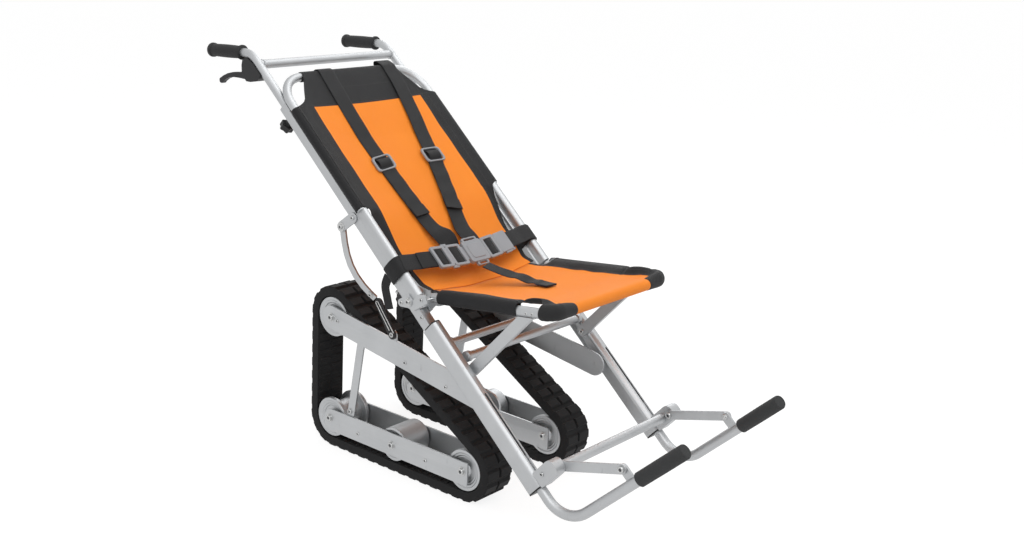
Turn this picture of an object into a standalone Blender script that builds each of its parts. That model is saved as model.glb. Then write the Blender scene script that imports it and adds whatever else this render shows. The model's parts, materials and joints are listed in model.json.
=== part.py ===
"""Evacuation chair on two rubber tracks, in metres, +Z up, facing -Y.

Left and right are the occupant's: right is -X. The sloping frame is drawn in
rail coordinates, s up along the rail and v square to it towards the front.
"""

import math

import bmesh
import bpy
from mathutils import Matrix, Vector

# Frame
RAIL_ANGLE = math.radians(41.5)
RAIL_START_Y = 0.153
RAIL_START_Z = 0.489
RAIL_X = 0.235
SLEEVE_WIDTH = 0.032
SLEEVE_DEPTH = 0.046
SLEEVE_ROUND = 0.0150
SLEEVE_TOP = -0.085
SLEEVE_END = -0.538
RAIL_WIDTH = 0.028
RAIL_FRONT = 0.0055
RAIL_REAR = -0.0205
RAIL_LOW = -0.19
RAIL_TOP = 0.60
HOOP_X = 0.2425
HOOP_V = 0.0195
HOOP_RADIUS = 0.011
HOOP_TOP = 0.665
PLATE = 0.004
GAP = 0.0003

# Push handle
HANDLE_RADIUS = 0.011
HANDLE_LOW = 0.35
HANDLE_CORNER = 0.7762
BAR_BELOW_CORNER = 0.0382
HANDLE_DROP = math.radians(2.8)
GRIP_FROM = 0.034
GRIP_TO = 0.160
GRIP_RADIUS = 0.0165
KNOB_S = 0.565

# Seat
SEAT_TILT = math.radians(6.7)
SEAT_X = 0.2145
SEAT_RADIUS = 0.012
SEAT_HINGE = 0.0537
SEAT_FRONT = 0.402
STRUT_WIDTH = 0.028
STRUT_PIVOT = (-0.224, 0.010)
STRUT_LEAN = (-0.0100, 0.99995)

# Foot frame
FOOT_RADIUS = 0.0125
FOOT_V = 0.006
FOOT_TOP = -0.46
FOOT_CORNER = -0.640
FOOT_BEND = math.radians(85)
FOOT_SPLAY = math.radians(5.5)
FOOT_TIP = 0.374
FOOT_GRIP_FROM = 0.239
FOOT_BAR = (-0.525, 0.055)
FOOT_TAB = (-0.620, 0.219)

# Tracks
WHEEL_RADIUS = 0.052
IDLER_RADIUS = 0.044
BELT_INNER = 0.0532
BELT_BASE = 0.0745
BELT_OUTER = 0.080
BELT_LOW_X = 0.110
BELT_HIGH_X = 0.200
HUB_FRONT = (0.008, 0.080)
HUB_REAR = (0.472, 0.080)
HUB_TOP = (0.470, 0.356)
HUB_MID = (0.245, 0.0735)
TRACK_PIVOT = (-0.309, -0.014)
LUG_PITCH = 0.036
BAR_HALF = 0.031
PLATE_LOW_Z = 0.051
PLATE_HIGH_Z = 0.105
BRACE_TOP = (0.26, -0.058)
BRACE_KNEE = (0.295, 0.437)
BRACE_LOW = (0.247, 0.366)

for old in list(bpy.data.objects):
    bpy.data.objects.remove(old)


def material(name, colour, metallic, roughness):
    made = bpy.data.materials.new(name)
    made.use_nodes = True
    shader = made.node_tree.nodes["Principled BSDF"]
    shader.inputs["Base Color"].default_value = (*colour, 1.0)
    shader.inputs["Metallic"].default_value = metallic
    shader.inputs["Roughness"].default_value = roughness
    return made


ALUMINIUM = material("satin_aluminium", (0.60, 0.61, 0.62), 1.0, 0.38)
RUBBER = material("track_rubber", (0.018, 0.018, 0.019), 0.0, 0.75)
BLACK_PLASTIC = material("black_plastic", (0.022, 0.022, 0.024), 0.0, 0.45)
GREY_PLASTIC = material("grey_plastic", (0.30, 0.31, 0.33), 0.0, 0.42)
FOAM = material("grip_foam", (0.035, 0.036, 0.038), 0.0, 0.85)
ORANGE = material("orange_fabric", (1.0, 0.24, 0.035), 0.0, 0.80)
WEBBING = material("black_webbing", (0.038, 0.037, 0.039), 0.0, 0.82)


def empty(name, parent, place, turn):
    made = bpy.data.objects.new(name, None)
    bpy.context.scene.collection.objects.link(made)
    made.parent = parent
    made.location = place
    made.rotation_euler = turn
    return made


CHAIR = empty("chair", None, (0, 0, 0), (0, 0, 0))
RAIL_FRAME = empty("rail_frame", CHAIR, (0, RAIL_START_Y, RAIL_START_Z), (RAIL_ANGLE - math.pi / 2, 0, 0))


def on_rail(s, v, x):
    """A point in rail coordinates, as the rail_frame empty sees it."""
    return Vector((x, -v, s))


def on_side(y, z, x):
    return Vector((x, y, z))


def across_rail(x, v, s):
    return Vector((x, -v, s))


def rear_of_rail(x, s, v):
    return Vector((x, -v, s))


def on_seat(t, w, x):
    """A point t forward along the seat and w above its tubes, in the rail_frame."""
    tilt = math.pi - SEAT_TILT - RAIL_ANGLE
    s = t * math.cos(tilt) + w * math.sin(tilt)
    v = t * math.sin(tilt) - w * math.cos(tilt)
    return on_rail(s, v, x)


def rail_to_side(s, v):
    """Side-view (y, z) of a point in rail coordinates."""
    y = RAIL_START_Y + s * math.cos(RAIL_ANGLE) - v * math.sin(RAIL_ANGLE)
    z = RAIL_START_Z + s * math.sin(RAIL_ANGLE) + v * math.cos(RAIL_ANGLE)
    return y, z


def circle(centre, radius, count=16):
    points = []
    for i in range(count):
        angle = 2 * math.pi * i / count
        points.append((centre[0] + radius * math.cos(angle), centre[1] + radius * math.sin(angle)))
    return points


def arc(centre, radius, start, end, count):
    points = []
    for i in range(count + 1):
        angle = start + (end - start) * i / count
        points.append((centre[0] + radius * math.cos(angle), centre[1] + radius * math.sin(angle)))
    return points


def box(low, high):
    return [(low[0], low[1]), (high[0], low[1]), (high[0], high[1]), (low[0], high[1])]


def rounded_box(low, high, rear, front):
    """A box whose corners are rounded by one radius at its rear and another at its front."""
    points = arc((low[0] + rear, low[1] + rear), rear, math.pi, 1.5 * math.pi, 3)
    points += arc((high[0] - rear, low[1] + rear), rear, 1.5 * math.pi, 2 * math.pi, 3)
    points += arc((high[0] - front, high[1] - front), front, 0, 0.5 * math.pi, 4)
    points += arc((low[0] + front, high[1] - front), front, 0.5 * math.pi, math.pi, 4)
    return points


def capsule(first, second, radius, count=8):
    heading = math.atan2(second[1] - first[1], second[0] - first[0])
    points = arc(second, radius, heading - math.pi / 2, heading + math.pi / 2, count)
    return points + arc(first, radius, heading + math.pi / 2, heading + 1.5 * math.pi, count)


def solid(name, mesh, paint, parent, origin=(0, 0, 0)):
    """The finished object, its origin moved to the given point of its parent's frame."""
    bmesh.ops.translate(mesh, verts=mesh.verts, vec=-Vector(origin))
    bmesh.ops.recalc_face_normals(mesh, faces=mesh.faces)
    data = bpy.data.meshes.new(name)
    mesh.to_mesh(data)
    mesh.free()
    made = bpy.data.objects.new(name, data)
    bpy.context.scene.collection.objects.link(made)
    made.parent = parent
    made.location = origin
    data.materials.append(paint)
    return made


def prism(outline, low, high, place):
    mesh = bmesh.new()
    bottom = [mesh.verts.new(place(a, b, low)) for a, b in outline]
    top = [mesh.verts.new(place(a, b, high)) for a, b in outline]
    mesh.faces.new(bottom)
    mesh.faces.new(top)
    count = len(outline)
    for i in range(count):
        j = (i + 1) % count
        mesh.faces.new((bottom[i], bottom[j], top[j], top[i]))
    return mesh


def ring_prism(outer, inner, low, high, place):
    mesh = bmesh.new()
    loops = []
    for outline, depth in ((outer, low), (outer, high), (inner, high), (inner, low)):
        loops.append([mesh.verts.new(place(a, b, depth)) for a, b in outline])
    count = len(outer)
    for k in range(4):
        one = loops[k]
        two = loops[(k + 1) % 4]
        for i in range(count):
            j = (i + 1) % count
            mesh.faces.new((one[i], one[j], two[j], two[i]))
    return mesh


def turned(profile, count, centre):
    """A ring turned about the X axis through centre from a closed (x, radius) profile."""
    mesh = bmesh.new()
    loops = []
    for k in range(count):
        angle = 2 * math.pi * k / count
        loop = []
        for x, radius in profile:
            y = centre[0] + radius * math.cos(angle)
            z = centre[1] + radius * math.sin(angle)
            loop.append(mesh.verts.new((x, y, z)))
        loops.append(loop)
    for k in range(count):
        one = loops[k]
        two = loops[(k + 1) % count]
        for i in range(len(profile)):
            j = (i + 1) % len(profile)
            mesh.faces.new((one[i], one[j], two[j], two[i]))
    return mesh


def filleted(corners, radius, steps):
    """The polyline through corners, each inner corner replaced by an arc."""
    path = [corners[0]]
    for before, corner, after in zip(corners, corners[1:], corners[2:]):
        into = (corner - before).normalized()
        out = (after - corner).normalized()
        turn = into.angle(out)
        back = radius * math.tan(turn / 2)
        start = corner - into * back
        inward = (out - into * into.dot(out)).normalized()
        centre = start + inward * radius
        for i in range(steps + 1):
            angle = turn * i / steps
            path.append(centre - inward * radius * math.cos(angle) + into * radius * math.sin(angle))
    path.append(corners[-1])
    return path


def headings(path):
    found = []
    for i in range(len(path)):
        before = path[max(i - 1, 0)]
        after = path[min(i + 1, len(path) - 1)]
        found.append((after - before).normalized())
    return found


def sweep(path, radii, sides=14):
    """A round rod along path; radii is one number or one per point."""
    if isinstance(radii, float):
        radii = [radii] * len(path)
    mesh = bmesh.new()
    ways = headings(path)
    normal = ways[0].orthogonal().normalized()
    loops = []
    for i, point in enumerate(path):
        if i:
            normal = ways[i - 1].rotation_difference(ways[i]) @ normal
        across = ways[i].cross(normal)
        loop = []
        for k in range(sides):
            angle = 2 * math.pi * k / sides
            offset = normal * math.cos(angle) + across * math.sin(angle)
            loop.append(mesh.verts.new(point + offset * radii[i]))
        loops.append(loop)
    for one, two in zip(loops, loops[1:]):
        for k in range(sides):
            j = (k + 1) % sides
            mesh.faces.new((one[k], one[j], two[j], two[k]))
    mesh.faces.new(loops[0])
    mesh.faces.new(loops[-1])
    return mesh


def ribbon(path, wide, width, thick):
    """A flat strap along path; wide is the direction of its width."""
    mesh = bmesh.new()
    loops = []
    for point, way in zip(path, headings(path)):
        across = (wide - way * wide.dot(way)).normalized() * (width / 2)
        up = way.cross(across).normalized() * (thick / 2)
        corners = (across + up, up - across, -across - up, across - up)
        loops.append([mesh.verts.new(point + corner) for corner in corners])
    for one, two in zip(loops, loops[1:]):
        for k in range(4):
            j = (k + 1) % 4
            mesh.faces.new((one[k], one[j], two[j], two[k]))
    mesh.faces.new(loops[0])
    mesh.faces.new(loops[-1])
    return mesh


def sheet(rows, columns, thick, up, point):
    """A cloth of even thickness over a grid; point(row, column) gives its middle."""
    mesh = bmesh.new()
    half = up * (thick / 2)
    top = []
    bottom = []
    for row in rows:
        top.append([mesh.verts.new(point(row, column) + half) for column in columns])
        bottom.append([mesh.verts.new(point(row, column) - half) for column in columns])
    last_row = len(rows) - 1
    last = len(columns) - 1
    for i in range(last_row):
        for j in range(last):
            for side in (top, bottom):
                mesh.faces.new((side[i][j], side[i][j + 1], side[i + 1][j + 1], side[i + 1][j]))
        for j in (0, last):
            mesh.faces.new((top[i][j], top[i + 1][j], bottom[i + 1][j], bottom[i][j]))
    for j in range(last):
        for i in (0, last_row):
            mesh.faces.new((top[i][j], top[i][j + 1], bottom[i][j + 1], bottom[i][j]))
    return mesh


def combine(target, mesh, operation):
    """Cuts the mesh from the target or joins it on, keeping it as a hidden helper."""
    helper = solid(target.name + "_helper", mesh, ALUMINIUM, target.parent)
    helper.hide_render = True
    helper.display_type = "WIRE"
    modifier = target.modifiers.new(operation.lower(), "BOOLEAN")
    modifier.operation = operation
    modifier.solver = "EXACT"
    modifier.object = helper


def cut(target, mesh):
    combine(target, mesh, "DIFFERENCE")


def join(target, mesh):
    combine(target, mesh, "UNION")


def span(sign, low, high):
    """Two x values on one side of the chair, the smaller one first."""
    return min(sign * low, sign * high), max(sign * low, sign * high)


def slab(outline, sign, low, high, place):
    first, second = span(sign, low, high)
    return prism(outline, first, second, place)


SIDES = (("right", -1), ("left", 1))
SLEEVE_IN = RAIL_X - SLEEVE_WIDTH / 2
SLEEVE_OUT = RAIL_X + SLEEVE_WIDTH / 2
RAIL_IN = RAIL_X - RAIL_WIDTH / 2
RAIL_OUT = RAIL_X + RAIL_WIDTH / 2
SLEEVE_FRONT = SLEEVE_DEPTH / 2
BORE_V = (RAIL_FRONT + RAIL_REAR) / 2
STRUT_LOW_X = SLEEVE_IN - 0.0125
STRUT_HIGH_X = SLEEVE_IN - 0.0005
BAR_LOW_X = BELT_HIGH_X + 0.0008
BAR_HIGH_X = BAR_LOW_X + 0.005
INNER_HIGH_X = BELT_LOW_X - 0.0008
INNER_LOW_X = INNER_HIGH_X - 0.005


# Rails, sleeves and the brackets on them
for side_name, sign in SIDES:
    middle = sign * RAIL_X
    half = SLEEVE_WIDTH / 2
    low_corner, high_corner = (middle - half, -SLEEVE_FRONT), (middle + half, SLEEVE_FRONT)
    outline = rounded_box(low_corner, high_corner, 0.004, SLEEVE_ROUND)
    lower = solid(
        "lower_rail_" + side_name, prism(outline, SLEEVE_END, SLEEVE_TOP, across_rail), ALUMINIUM,
        RAIL_FRAME,
    )
    wall = RAIL_WIDTH / 2 + GAP
    hollow = box((middle - wall, RAIL_REAR - GAP), (middle + wall, RAIL_FRONT + GAP))
    cut(lower, prism(hollow, RAIL_LOW - GAP, SLEEVE_TOP + 0.01, across_rail))
    bore = circle((middle, FOOT_V), FOOT_RADIUS + GAP, 18)
    cut(lower, prism(bore, SLEEVE_END - 0.01, -0.24, across_rail))
    slot = capsule((middle, -0.525), (middle, -0.293), 0.003, 4)
    cut(lower, prism(slot, FOOT_V + 0.004, SLEEVE_FRONT + 0.01, rear_of_rail))
    join(
        lower,
        slab(circle(STRUT_PIVOT, 0.005, 12), sign, STRUT_LOW_X - 0.0004, SLEEVE_IN + 0.006, on_rail),
    )
    join(lower, slab(circle(TRACK_PIVOT, 0.005, 12), sign, BAR_LOW_X - 0.0008, SLEEVE_IN + 0.002, on_rail))

    plug = solid(
        "rail_plug_" + side_name,
        prism(outline, SLEEVE_END - GAP - 0.003, SLEEVE_END - GAP, across_rail), BLACK_PLASTIC,
        RAIL_FRAME,
    )
    cut(plug, prism(bore, SLEEVE_END - 0.02, SLEEVE_END + 0.01, across_rail))

    half = RAIL_WIDTH / 2
    outline = rounded_box((middle - half, RAIL_REAR), (middle + half, RAIL_FRONT), 0.003, 0.003)
    upper = solid(
        "back_rail_" + side_name, prism(outline, RAIL_LOW, RAIL_TOP, across_rail), ALUMINIUM,
        RAIL_FRAME,
    )
    cut(
        upper,
        prism(
            circle((middle, BORE_V), HANDLE_RADIUS + GAP, 18), HANDLE_LOW - 0.02, RAIL_TOP + 0.01,
            across_rail,
        ),
    )
    pad_top = HOOP_V - HOOP_RADIUS - GAP
    for low, high in ((0.0, 0.2455), (RAIL_TOP - 0.025, RAIL_TOP - 0.001)):
        join(
            upper,
            slab(
                box((low, RAIL_FRONT - 0.001), (high, pad_top)), sign, RAIL_X - 0.001,
                RAIL_OUT - 0.0002, on_rail,
            ),
        )

    cheek_x = RAIL_OUT + GAP
    bracket = [(-0.0440, 0.0430), (-0.0245, 0.0500), (-0.0112, 0.0320), (-0.0112, 0.0078), (0.0080, 0.0078)]
    bracket += arc((0.0085, -0.0275), 0.0095, 0.6, -2.2, 6)
    bracket += [(-0.0145, -0.0175), (-0.0304, -0.0080)]
    hinge = solid(
        "hinge_bracket_" + side_name, slab(bracket, sign, cheek_x, cheek_x + PLATE, on_rail),
        ALUMINIUM, RAIL_FRAME,
    )
    join(hinge, slab(box((-0.0360, 0.0058), (-0.0155, 0.0095)), sign, SEAT_X, cheek_x + 0.003, on_rail))
    inner = [(-0.0480, 0.0093), (-0.0160, 0.0093), (-0.010, -0.018), (-0.045, -0.018)]
    join(hinge, slab(inner, sign, SEAT_X - 0.0019, RAIL_IN - GAP, on_rail))
    pivot = SEAT_HINGE * math.cos(math.pi - SEAT_TILT - RAIL_ANGLE), SEAT_HINGE * math.sin(
        math.pi - SEAT_TILT - RAIL_ANGLE
    )
    join(
        hinge,
        slab(capsule((pivot[0], -0.004), pivot, 0.011), sign, SEAT_X - 0.002, SEAT_X + 0.002, on_rail),
    )
    join(hinge, slab(circle(pivot, 0.004, 12), sign, SEAT_X - 0.011, cheek_x + 0.001, on_rail))
    for radius, height in ((0.0120, 0.0062), (0.0060, 0.0090)):
        disc = circle((-0.0055, -0.0045), radius, 20)
        join(hinge, slab(disc, sign, cheek_x + 0.003, cheek_x + height, on_rail))

    brace = solid(
        "brace_bracket_" + side_name,
        slab(capsule((0.25, -0.009), BRACE_TOP, 0.013), sign, cheek_x, cheek_x + PLATE, on_rail),
        ALUMINIUM, RAIL_FRAME,
    )
    join(brace, slab(circle(BRACE_TOP, 0.004, 12), sign, cheek_x - 0.007, cheek_x + 0.001, on_rail))
    for bolt in ((0.25, -0.009), BRACE_TOP):
        join(brace, slab(circle(bolt, 0.006, 10), sign, cheek_x + 0.003, cheek_x + 0.0065, on_rail))

    knob_rear = RAIL_REAR - GAP
    lobes = []
    for i in range(36):
        angle = 2 * math.pi * i / 36
        radius = 0.0165 + 0.002 * math.cos(6 * angle)
        lobes.append((middle + radius * math.cos(angle), KNOB_S + radius * math.sin(angle)))
    knob = solid(
        "clamp_knob_" + side_name,
        prism(lobes, knob_rear - 0.030, knob_rear - 0.014, rear_of_rail), BLACK_PLASTIC,
        RAIL_FRAME, on_rail(KNOB_S, knob_rear, middle),
    )
    join(knob, prism(circle((middle, KNOB_S), 0.009, 12), knob_rear - 0.018, knob_rear, rear_of_rail))

hoop_corners = [
    on_rail(-0.01, HOOP_V, -HOOP_X),
    on_rail(HOOP_TOP, HOOP_V, -HOOP_X),
    on_rail(HOOP_TOP, HOOP_V, HOOP_X),
    on_rail(-0.01, HOOP_V, HOOP_X),
]
solid("back_hoop", sweep(filleted(hoop_corners, 0.080, 6), HOOP_RADIUS), ALUMINIUM, RAIL_FRAME)

for name, spot in (("cross_tube_upper", (-0.136, -0.005)), ("cross_tube_lower", (-0.190, 0.018))):
    end = SLEEVE_IN - GAP
    tube = solid(name, prism(circle(spot, 0.010, 16), -end, end, on_rail), ALUMINIUM, RAIL_FRAME)
    for side_name, sign in SIDES:
        join(tube, slab(circle(spot, 0.013, 16), sign, end - 0.014, end - 0.002, on_rail))


# Push handle, with its grips and brakes
DROP_S = math.cos(RAIL_ANGLE + HANDLE_DROP)
DROP_V = -math.sin(RAIL_ANGLE + HANDLE_DROP)


def grip_point(distance, x):
    return on_rail(HANDLE_CORNER + distance * DROP_S, BORE_V + distance * DROP_V, x)


def handle_path(x, end):
    corners = [on_rail(HANDLE_LOW, BORE_V, x), on_rail(HANDLE_CORNER, BORE_V, x), grip_point(end, x)]
    return filleted(corners, 0.07, 6)


handle = solid(
    "handle_frame", sweep(handle_path(-RAIL_X, GRIP_TO - 0.008), HANDLE_RADIUS), ALUMINIUM,
    RAIL_FRAME,
)
join(handle, sweep(handle_path(RAIL_X, GRIP_TO - 0.008), HANDLE_RADIUS))
join(
    handle,
    prism(circle((HANDLE_CORNER - BAR_BELOW_CORNER, BORE_V), 0.0105, 14), -RAIL_X, RAIL_X, on_rail),
)

HANDLE_BEND = rail_to_side(HANDLE_CORNER, BORE_V)


def by_bend(*offsets):
    """Side-view points measured from where the handle's leg and grip lines meet."""
    return [(HANDLE_BEND[0] + back, HANDLE_BEND[1] + up) for back, up in offsets]


LEVER_PIVOT = by_bend((0.0027, -0.0577))[0]
for side_name, sign in SIDES:
    middle = sign * RAIL_X
    stations = (
        GRIP_FROM, GRIP_FROM + 0.004, GRIP_FROM + 0.007, GRIP_FROM + 0.05, GRIP_TO - 0.014,
        GRIP_TO - 0.008, GRIP_TO - 0.002, GRIP_TO,
    )
    swell = (1.15, 1.15, 0.95, 1.0, 0.95, 1.12, 1.12, 1.0)
    grip = solid(
        "hand_grip_" + side_name,
        sweep([grip_point(t, middle) for t in stations], [GRIP_RADIUS * k for k in swell], 16),
        FOAM, RAIL_FRAME,
    )
    cut(
        grip,
        sweep(
            [grip_point(GRIP_FROM - 0.01, middle), grip_point(GRIP_TO - 0.008 + GAP, middle)],
            HANDLE_RADIUS + GAP, 14,
        ),
    )

body = by_bend(
    (0.0235, -0.0560), (0.0245, -0.0316), (0.0205, -0.0160), (0.0050, -0.0110), (-0.0046, -0.0151),
    (-0.0224, -0.0259), (-0.0362, -0.0384), (-0.0480, -0.0480), (-0.0439, -0.0582), (-0.0359, -0.0655),
    (-0.0099, -0.0706), (0.0060, -0.0706),
)
clamp = solid("brake_clamp", prism(body, -RAIL_X - 0.0135, -RAIL_X + 0.0135, on_side), BLACK_PLASTIC, CHAIR)
rail_turn = Matrix.Translation((0, RAIL_START_Y, RAIL_START_Z)) @ Matrix.Rotation(
    RAIL_ANGLE - math.pi / 2, 4, "X"
)
cut(clamp, sweep([rail_turn @ point for point in handle_path(-RAIL_X, GRIP_TO)], HANDLE_RADIUS + GAP))
bar_side = rail_to_side(HANDLE_CORNER - BAR_BELOW_CORNER, BORE_V)
cut(clamp, prism(circle(bar_side, 0.0112, 20), -RAIL_X, -RAIL_X + 0.030, on_side))
mouth = box(*by_bend((-0.0063, -0.0877), (0.0407, -0.0390)))
cut(clamp, prism(mouth, -RAIL_X - 0.0065, -RAIL_X + 0.0065, on_side))
join(clamp, prism(circle(LEVER_PIVOT, 0.003, 10), -RAIL_X - 0.010, -RAIL_X + 0.010, on_side))
blade = arc(LEVER_PIVOT, 0.0065, 1.1, 4.9, 8)
blade += by_bend((0.0223, -0.0675), (0.0446, -0.0668), (0.0651, -0.0676), (0.0817, -0.0699))
blade += by_bend((0.0960, -0.0755))
blade += arc(by_bend((0.1165, -0.0815))[0], 0.0075, 3.5, 7.7, 8)
blade += by_bend((0.1087, -0.0686), (0.0897, -0.0604), (0.0690, -0.0550), (0.0443, -0.0521))
blade += by_bend((0.0260, -0.0503))
lever = solid(
    "brake_lever", prism(blade, -RAIL_X - 0.006, -RAIL_X + 0.006, on_side), BLACK_PLASTIC, CHAIR,
    (-RAIL_X, *LEVER_PIVOT),
)
cut(lever, prism(circle(LEVER_PIVOT, 0.0033, 10), -RAIL_X - 0.02, -RAIL_X + 0.02, on_side))


# Seat frame, its struts and the slings
seat_origin = on_seat(SEAT_HINGE, 0, 0)
seat_corners = [
    on_seat(SEAT_HINGE - 0.010, 0, -SEAT_X),
    on_seat(SEAT_FRONT, 0, -SEAT_X),
    on_seat(SEAT_FRONT, 0, SEAT_X),
    on_seat(SEAT_HINGE - 0.010, 0, SEAT_X),
]
seat = solid(
    "seat_frame", sweep(filleted(seat_corners, 0.026, 5), SEAT_RADIUS), ALUMINIUM, RAIL_FRAME,
    seat_origin,
)
for side_name, sign in SIDES:
    fork = box((SEAT_HINGE - 0.03, -0.02), (SEAT_HINGE + 0.016, 0.02))
    cut(seat, slab(fork, sign, SEAT_X - 0.0023, SEAT_X + 0.0023, on_seat))
    cut(seat, slab(circle((SEAT_HINGE, 0), 0.0043, 12), sign, SEAT_X - 0.02, SEAT_X + 0.02, on_seat))

tilt = math.pi - SEAT_TILT - RAIL_ANGLE
below = (-math.sin(tilt), math.cos(tilt))
for side_name, sign in SIDES:
    heading = math.atan2(STRUT_LEAN[1], STRUT_LEAN[0])
    half = STRUT_WIDTH / 2
    outline = arc(STRUT_PIVOT, half, heading + math.pi / 2, heading + 1.5 * math.pi, 8)
    for edge in (outline[-1], outline[0]):
        height = edge[0] * below[0] + edge[1] * below[1] - SEAT_RADIUS - 0.0005
        reach = -height / (STRUT_LEAN[0] * below[0] + STRUT_LEAN[1] * below[1])
        outline.append((edge[0] + STRUT_LEAN[0] * reach, edge[1] + STRUT_LEAN[1] * reach))
    strut = solid(
        "strut_" + side_name, slab(outline, sign, STRUT_LOW_X, STRUT_HIGH_X, on_rail), ALUMINIUM,
        RAIL_FRAME, on_rail(*STRUT_PIVOT, 0),
    )
    cut(
        strut,
        slab(circle(STRUT_PIVOT, 0.0053, 12), sign, STRUT_LOW_X - 0.01, STRUT_HIGH_X + 0.01, on_rail),
    )

CLOTH = 0.0026
BACK_SAG = 0.018
BACK_EDGE_V = HOOP_V + 0.011
BACK_HALF = HOOP_X - 0.0065


def back_width(s):
    """Half the width of the back cloth, with its cut-outs at shoulder and hip."""
    if s < 0.20:
        return 0.186 + 0.07 * s
    if s < 0.245:
        return 0.200 + (BACK_HALF - 0.200) * (s - 0.20) / 0.045
    if s < 0.56:
        return BACK_HALF
    if s < 0.59:
        return BACK_HALF - (BACK_HALF - 0.19) * (s - 0.56) / 0.03
    return 0.19 - 0.025 * (s - 0.59) / 0.068


def back_v(x, s):
    """Height of the middle of the back cloth over the rail axis."""
    slack = min(1.0, max(0.0, (HOOP_TOP - 0.007 - s) / 0.2))
    return BACK_EDGE_V - BACK_SAG * slack * (1 - (x / BACK_HALF) ** 2)


back_rows = [-0.002, 0.03, 0.08, 0.14, 0.20, 0.245, 0.32, 0.40, 0.48, 0.56, 0.59, 0.625, HOOP_TOP - 0.007]
back_columns = [-1.0, -0.8, -0.6, -0.3, 0.0, 0.3, 0.6, 0.8, 1.0]


def back_point(s, column):
    x = column * back_width(s)
    return on_rail(s, back_v(x, s), x)


back = solid(
    "back_sling", sheet(back_rows, back_columns, CLOTH, Vector((0, -1, 0)), back_point), ORANGE,
    RAIL_FRAME,
)
for side_name, sign in SIDES:
    middle = (sign * HOOP_X, HOOP_V)
    join(
        back,
        ring_prism(
            circle(middle, HOOP_RADIUS + 0.0027), circle(middle, HOOP_RADIUS + GAP), 0.247, 0.558,
            across_rail,
        ),
    )
middle = (HOOP_TOP, HOOP_V)
join(
    back,
    ring_prism(
        circle(middle, HOOP_RADIUS + 0.0027), circle(middle, HOOP_RADIUS + GAP), -0.163, 0.163,
        on_rail,
    ),
)

SEAT_SAG = 0.020
SEAT_EDGE = SEAT_X - 0.007
SEAT_CLOTH_W = 0.0118
SEAT_SLEEVE = SEAT_HINGE + 0.0125


def seat_width(t):
    if t < SEAT_SLEEVE - 0.012:
        return 0.186
    if t < SEAT_SLEEVE:
        return SEAT_EDGE - (SEAT_EDGE - 0.186) * (SEAT_SLEEVE - t) / 0.012
    if t < 0.345:
        return SEAT_EDGE
    return SEAT_EDGE - (SEAT_EDGE - 0.165) * (t - 0.345) / (SEAT_FRONT - 0.352)


def seat_point(t, column):
    x = column * seat_width(t)
    slack = min(1.0, max(0.0, (SEAT_FRONT - 0.007 - t) / 0.12))
    w = SEAT_CLOTH_W - SEAT_SAG * slack * (1 - (x / SEAT_EDGE) ** 2)
    return on_seat(t, w, x)


seat_rows = [0.006, 0.030, SEAT_SLEEVE - 0.012, SEAT_SLEEVE, 0.11, 0.16, 0.22, 0.28, 0.32]
seat_rows += [0.345, 0.37, SEAT_FRONT - 0.007]
seat_up = on_seat(0, 1, 0)
cloth = solid(
    "seat_sling", sheet(seat_rows, back_columns, CLOTH, seat_up, seat_point), ORANGE, RAIL_FRAME,
    seat_origin,
)


def along_seat(x, w, t):
    return on_seat(t, w, x)


for side_name, sign in SIDES:
    middle = (sign * SEAT_X, 0)
    join(
        cloth,
        ring_prism(
            circle(middle, SEAT_RADIUS + 0.0027), circle(middle, SEAT_RADIUS + GAP), SEAT_SLEEVE, 0.298,
            along_seat,
        ),
    )
middle = (SEAT_FRONT, 0)
join(
    cloth,
    ring_prism(
        circle(middle, SEAT_RADIUS + 0.0027), circle(middle, SEAT_RADIUS + GAP), -0.163, 0.163,
        on_seat,
    ),
)

STRAP_WIDTH = 0.050
STRAP = 0.0022
CLEAR = CLOTH / 2 + STRAP / 2 + 0.0016
for side_name, top_x, low_x, power in (("right", -0.085, -0.050, 2.6), ("left", 0.130, 0.004, 1.5)):
    path = []
    for s, v in arc((HOOP_TOP, HOOP_V), HOOP_RADIUS + 0.0027 + STRAP, -1.0, 1.55, 7):
        path.append(on_rail(s, v, top_x))
    for i in range(11):
        s = 0.635 - 0.5 * i / 10
        x = top_x + (low_x - top_x) * (i / 10) ** power
        edge = abs(x) + STRAP_WIDTH / 2
        path.append(on_rail(s, back_v(edge, s) + CLEAR, x))
    solid(
        "shoulder_strap_" + side_name, ribbon(path, Vector((1, 0, 0)), STRAP_WIDTH, STRAP),
        WEBBING, RAIL_FRAME,
    )

BUCKLE_X = -0.0125
BUCKLE_S = 0.060
BUCKLE_V = back_v(BUCKLE_X, BUCKLE_S) + 0.018
for side_name, sign in SIDES:
    loop_low = (sign * (RAIL_X + 0.0022) - 0.0167, RAIL_REAR - 0.0004)
    loop_high = (sign * (RAIL_X + 0.0022) + 0.0167, HOOP_V + HOOP_RADIUS + 0.0004)
    grow = 0.0022
    outer = rounded_box(
        (loop_low[0] - grow, loop_low[1] - grow), (loop_high[0] + grow, loop_high[1] + grow),
        0.006, 0.010,
    )
    inner = rounded_box(loop_low, loop_high, 0.006 - grow, 0.010 - grow)
    belt = solid(
        "lap_belt_" + side_name, ring_prism(outer, inner, 0.058, 0.104, across_rail), WEBBING,
        RAIL_FRAME,
    )
    start = on_rail(0.079, HOOP_V + HOOP_RADIUS + 0.0020, sign * (RAIL_X + 0.004))
    end = on_rail(BUCKLE_S, BUCKLE_V, BUCKLE_X + sign * 0.0308)
    path = [start]
    for i in range(1, 9):
        k = i / 8
        lift = 0.012 * math.sin(math.pi * k)
        path.append(start.lerp(end, k) + Vector((0, -lift, 0)))
    join(belt, ribbon(path, Vector((0, 0, 1)), 0.044, STRAP))
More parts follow.
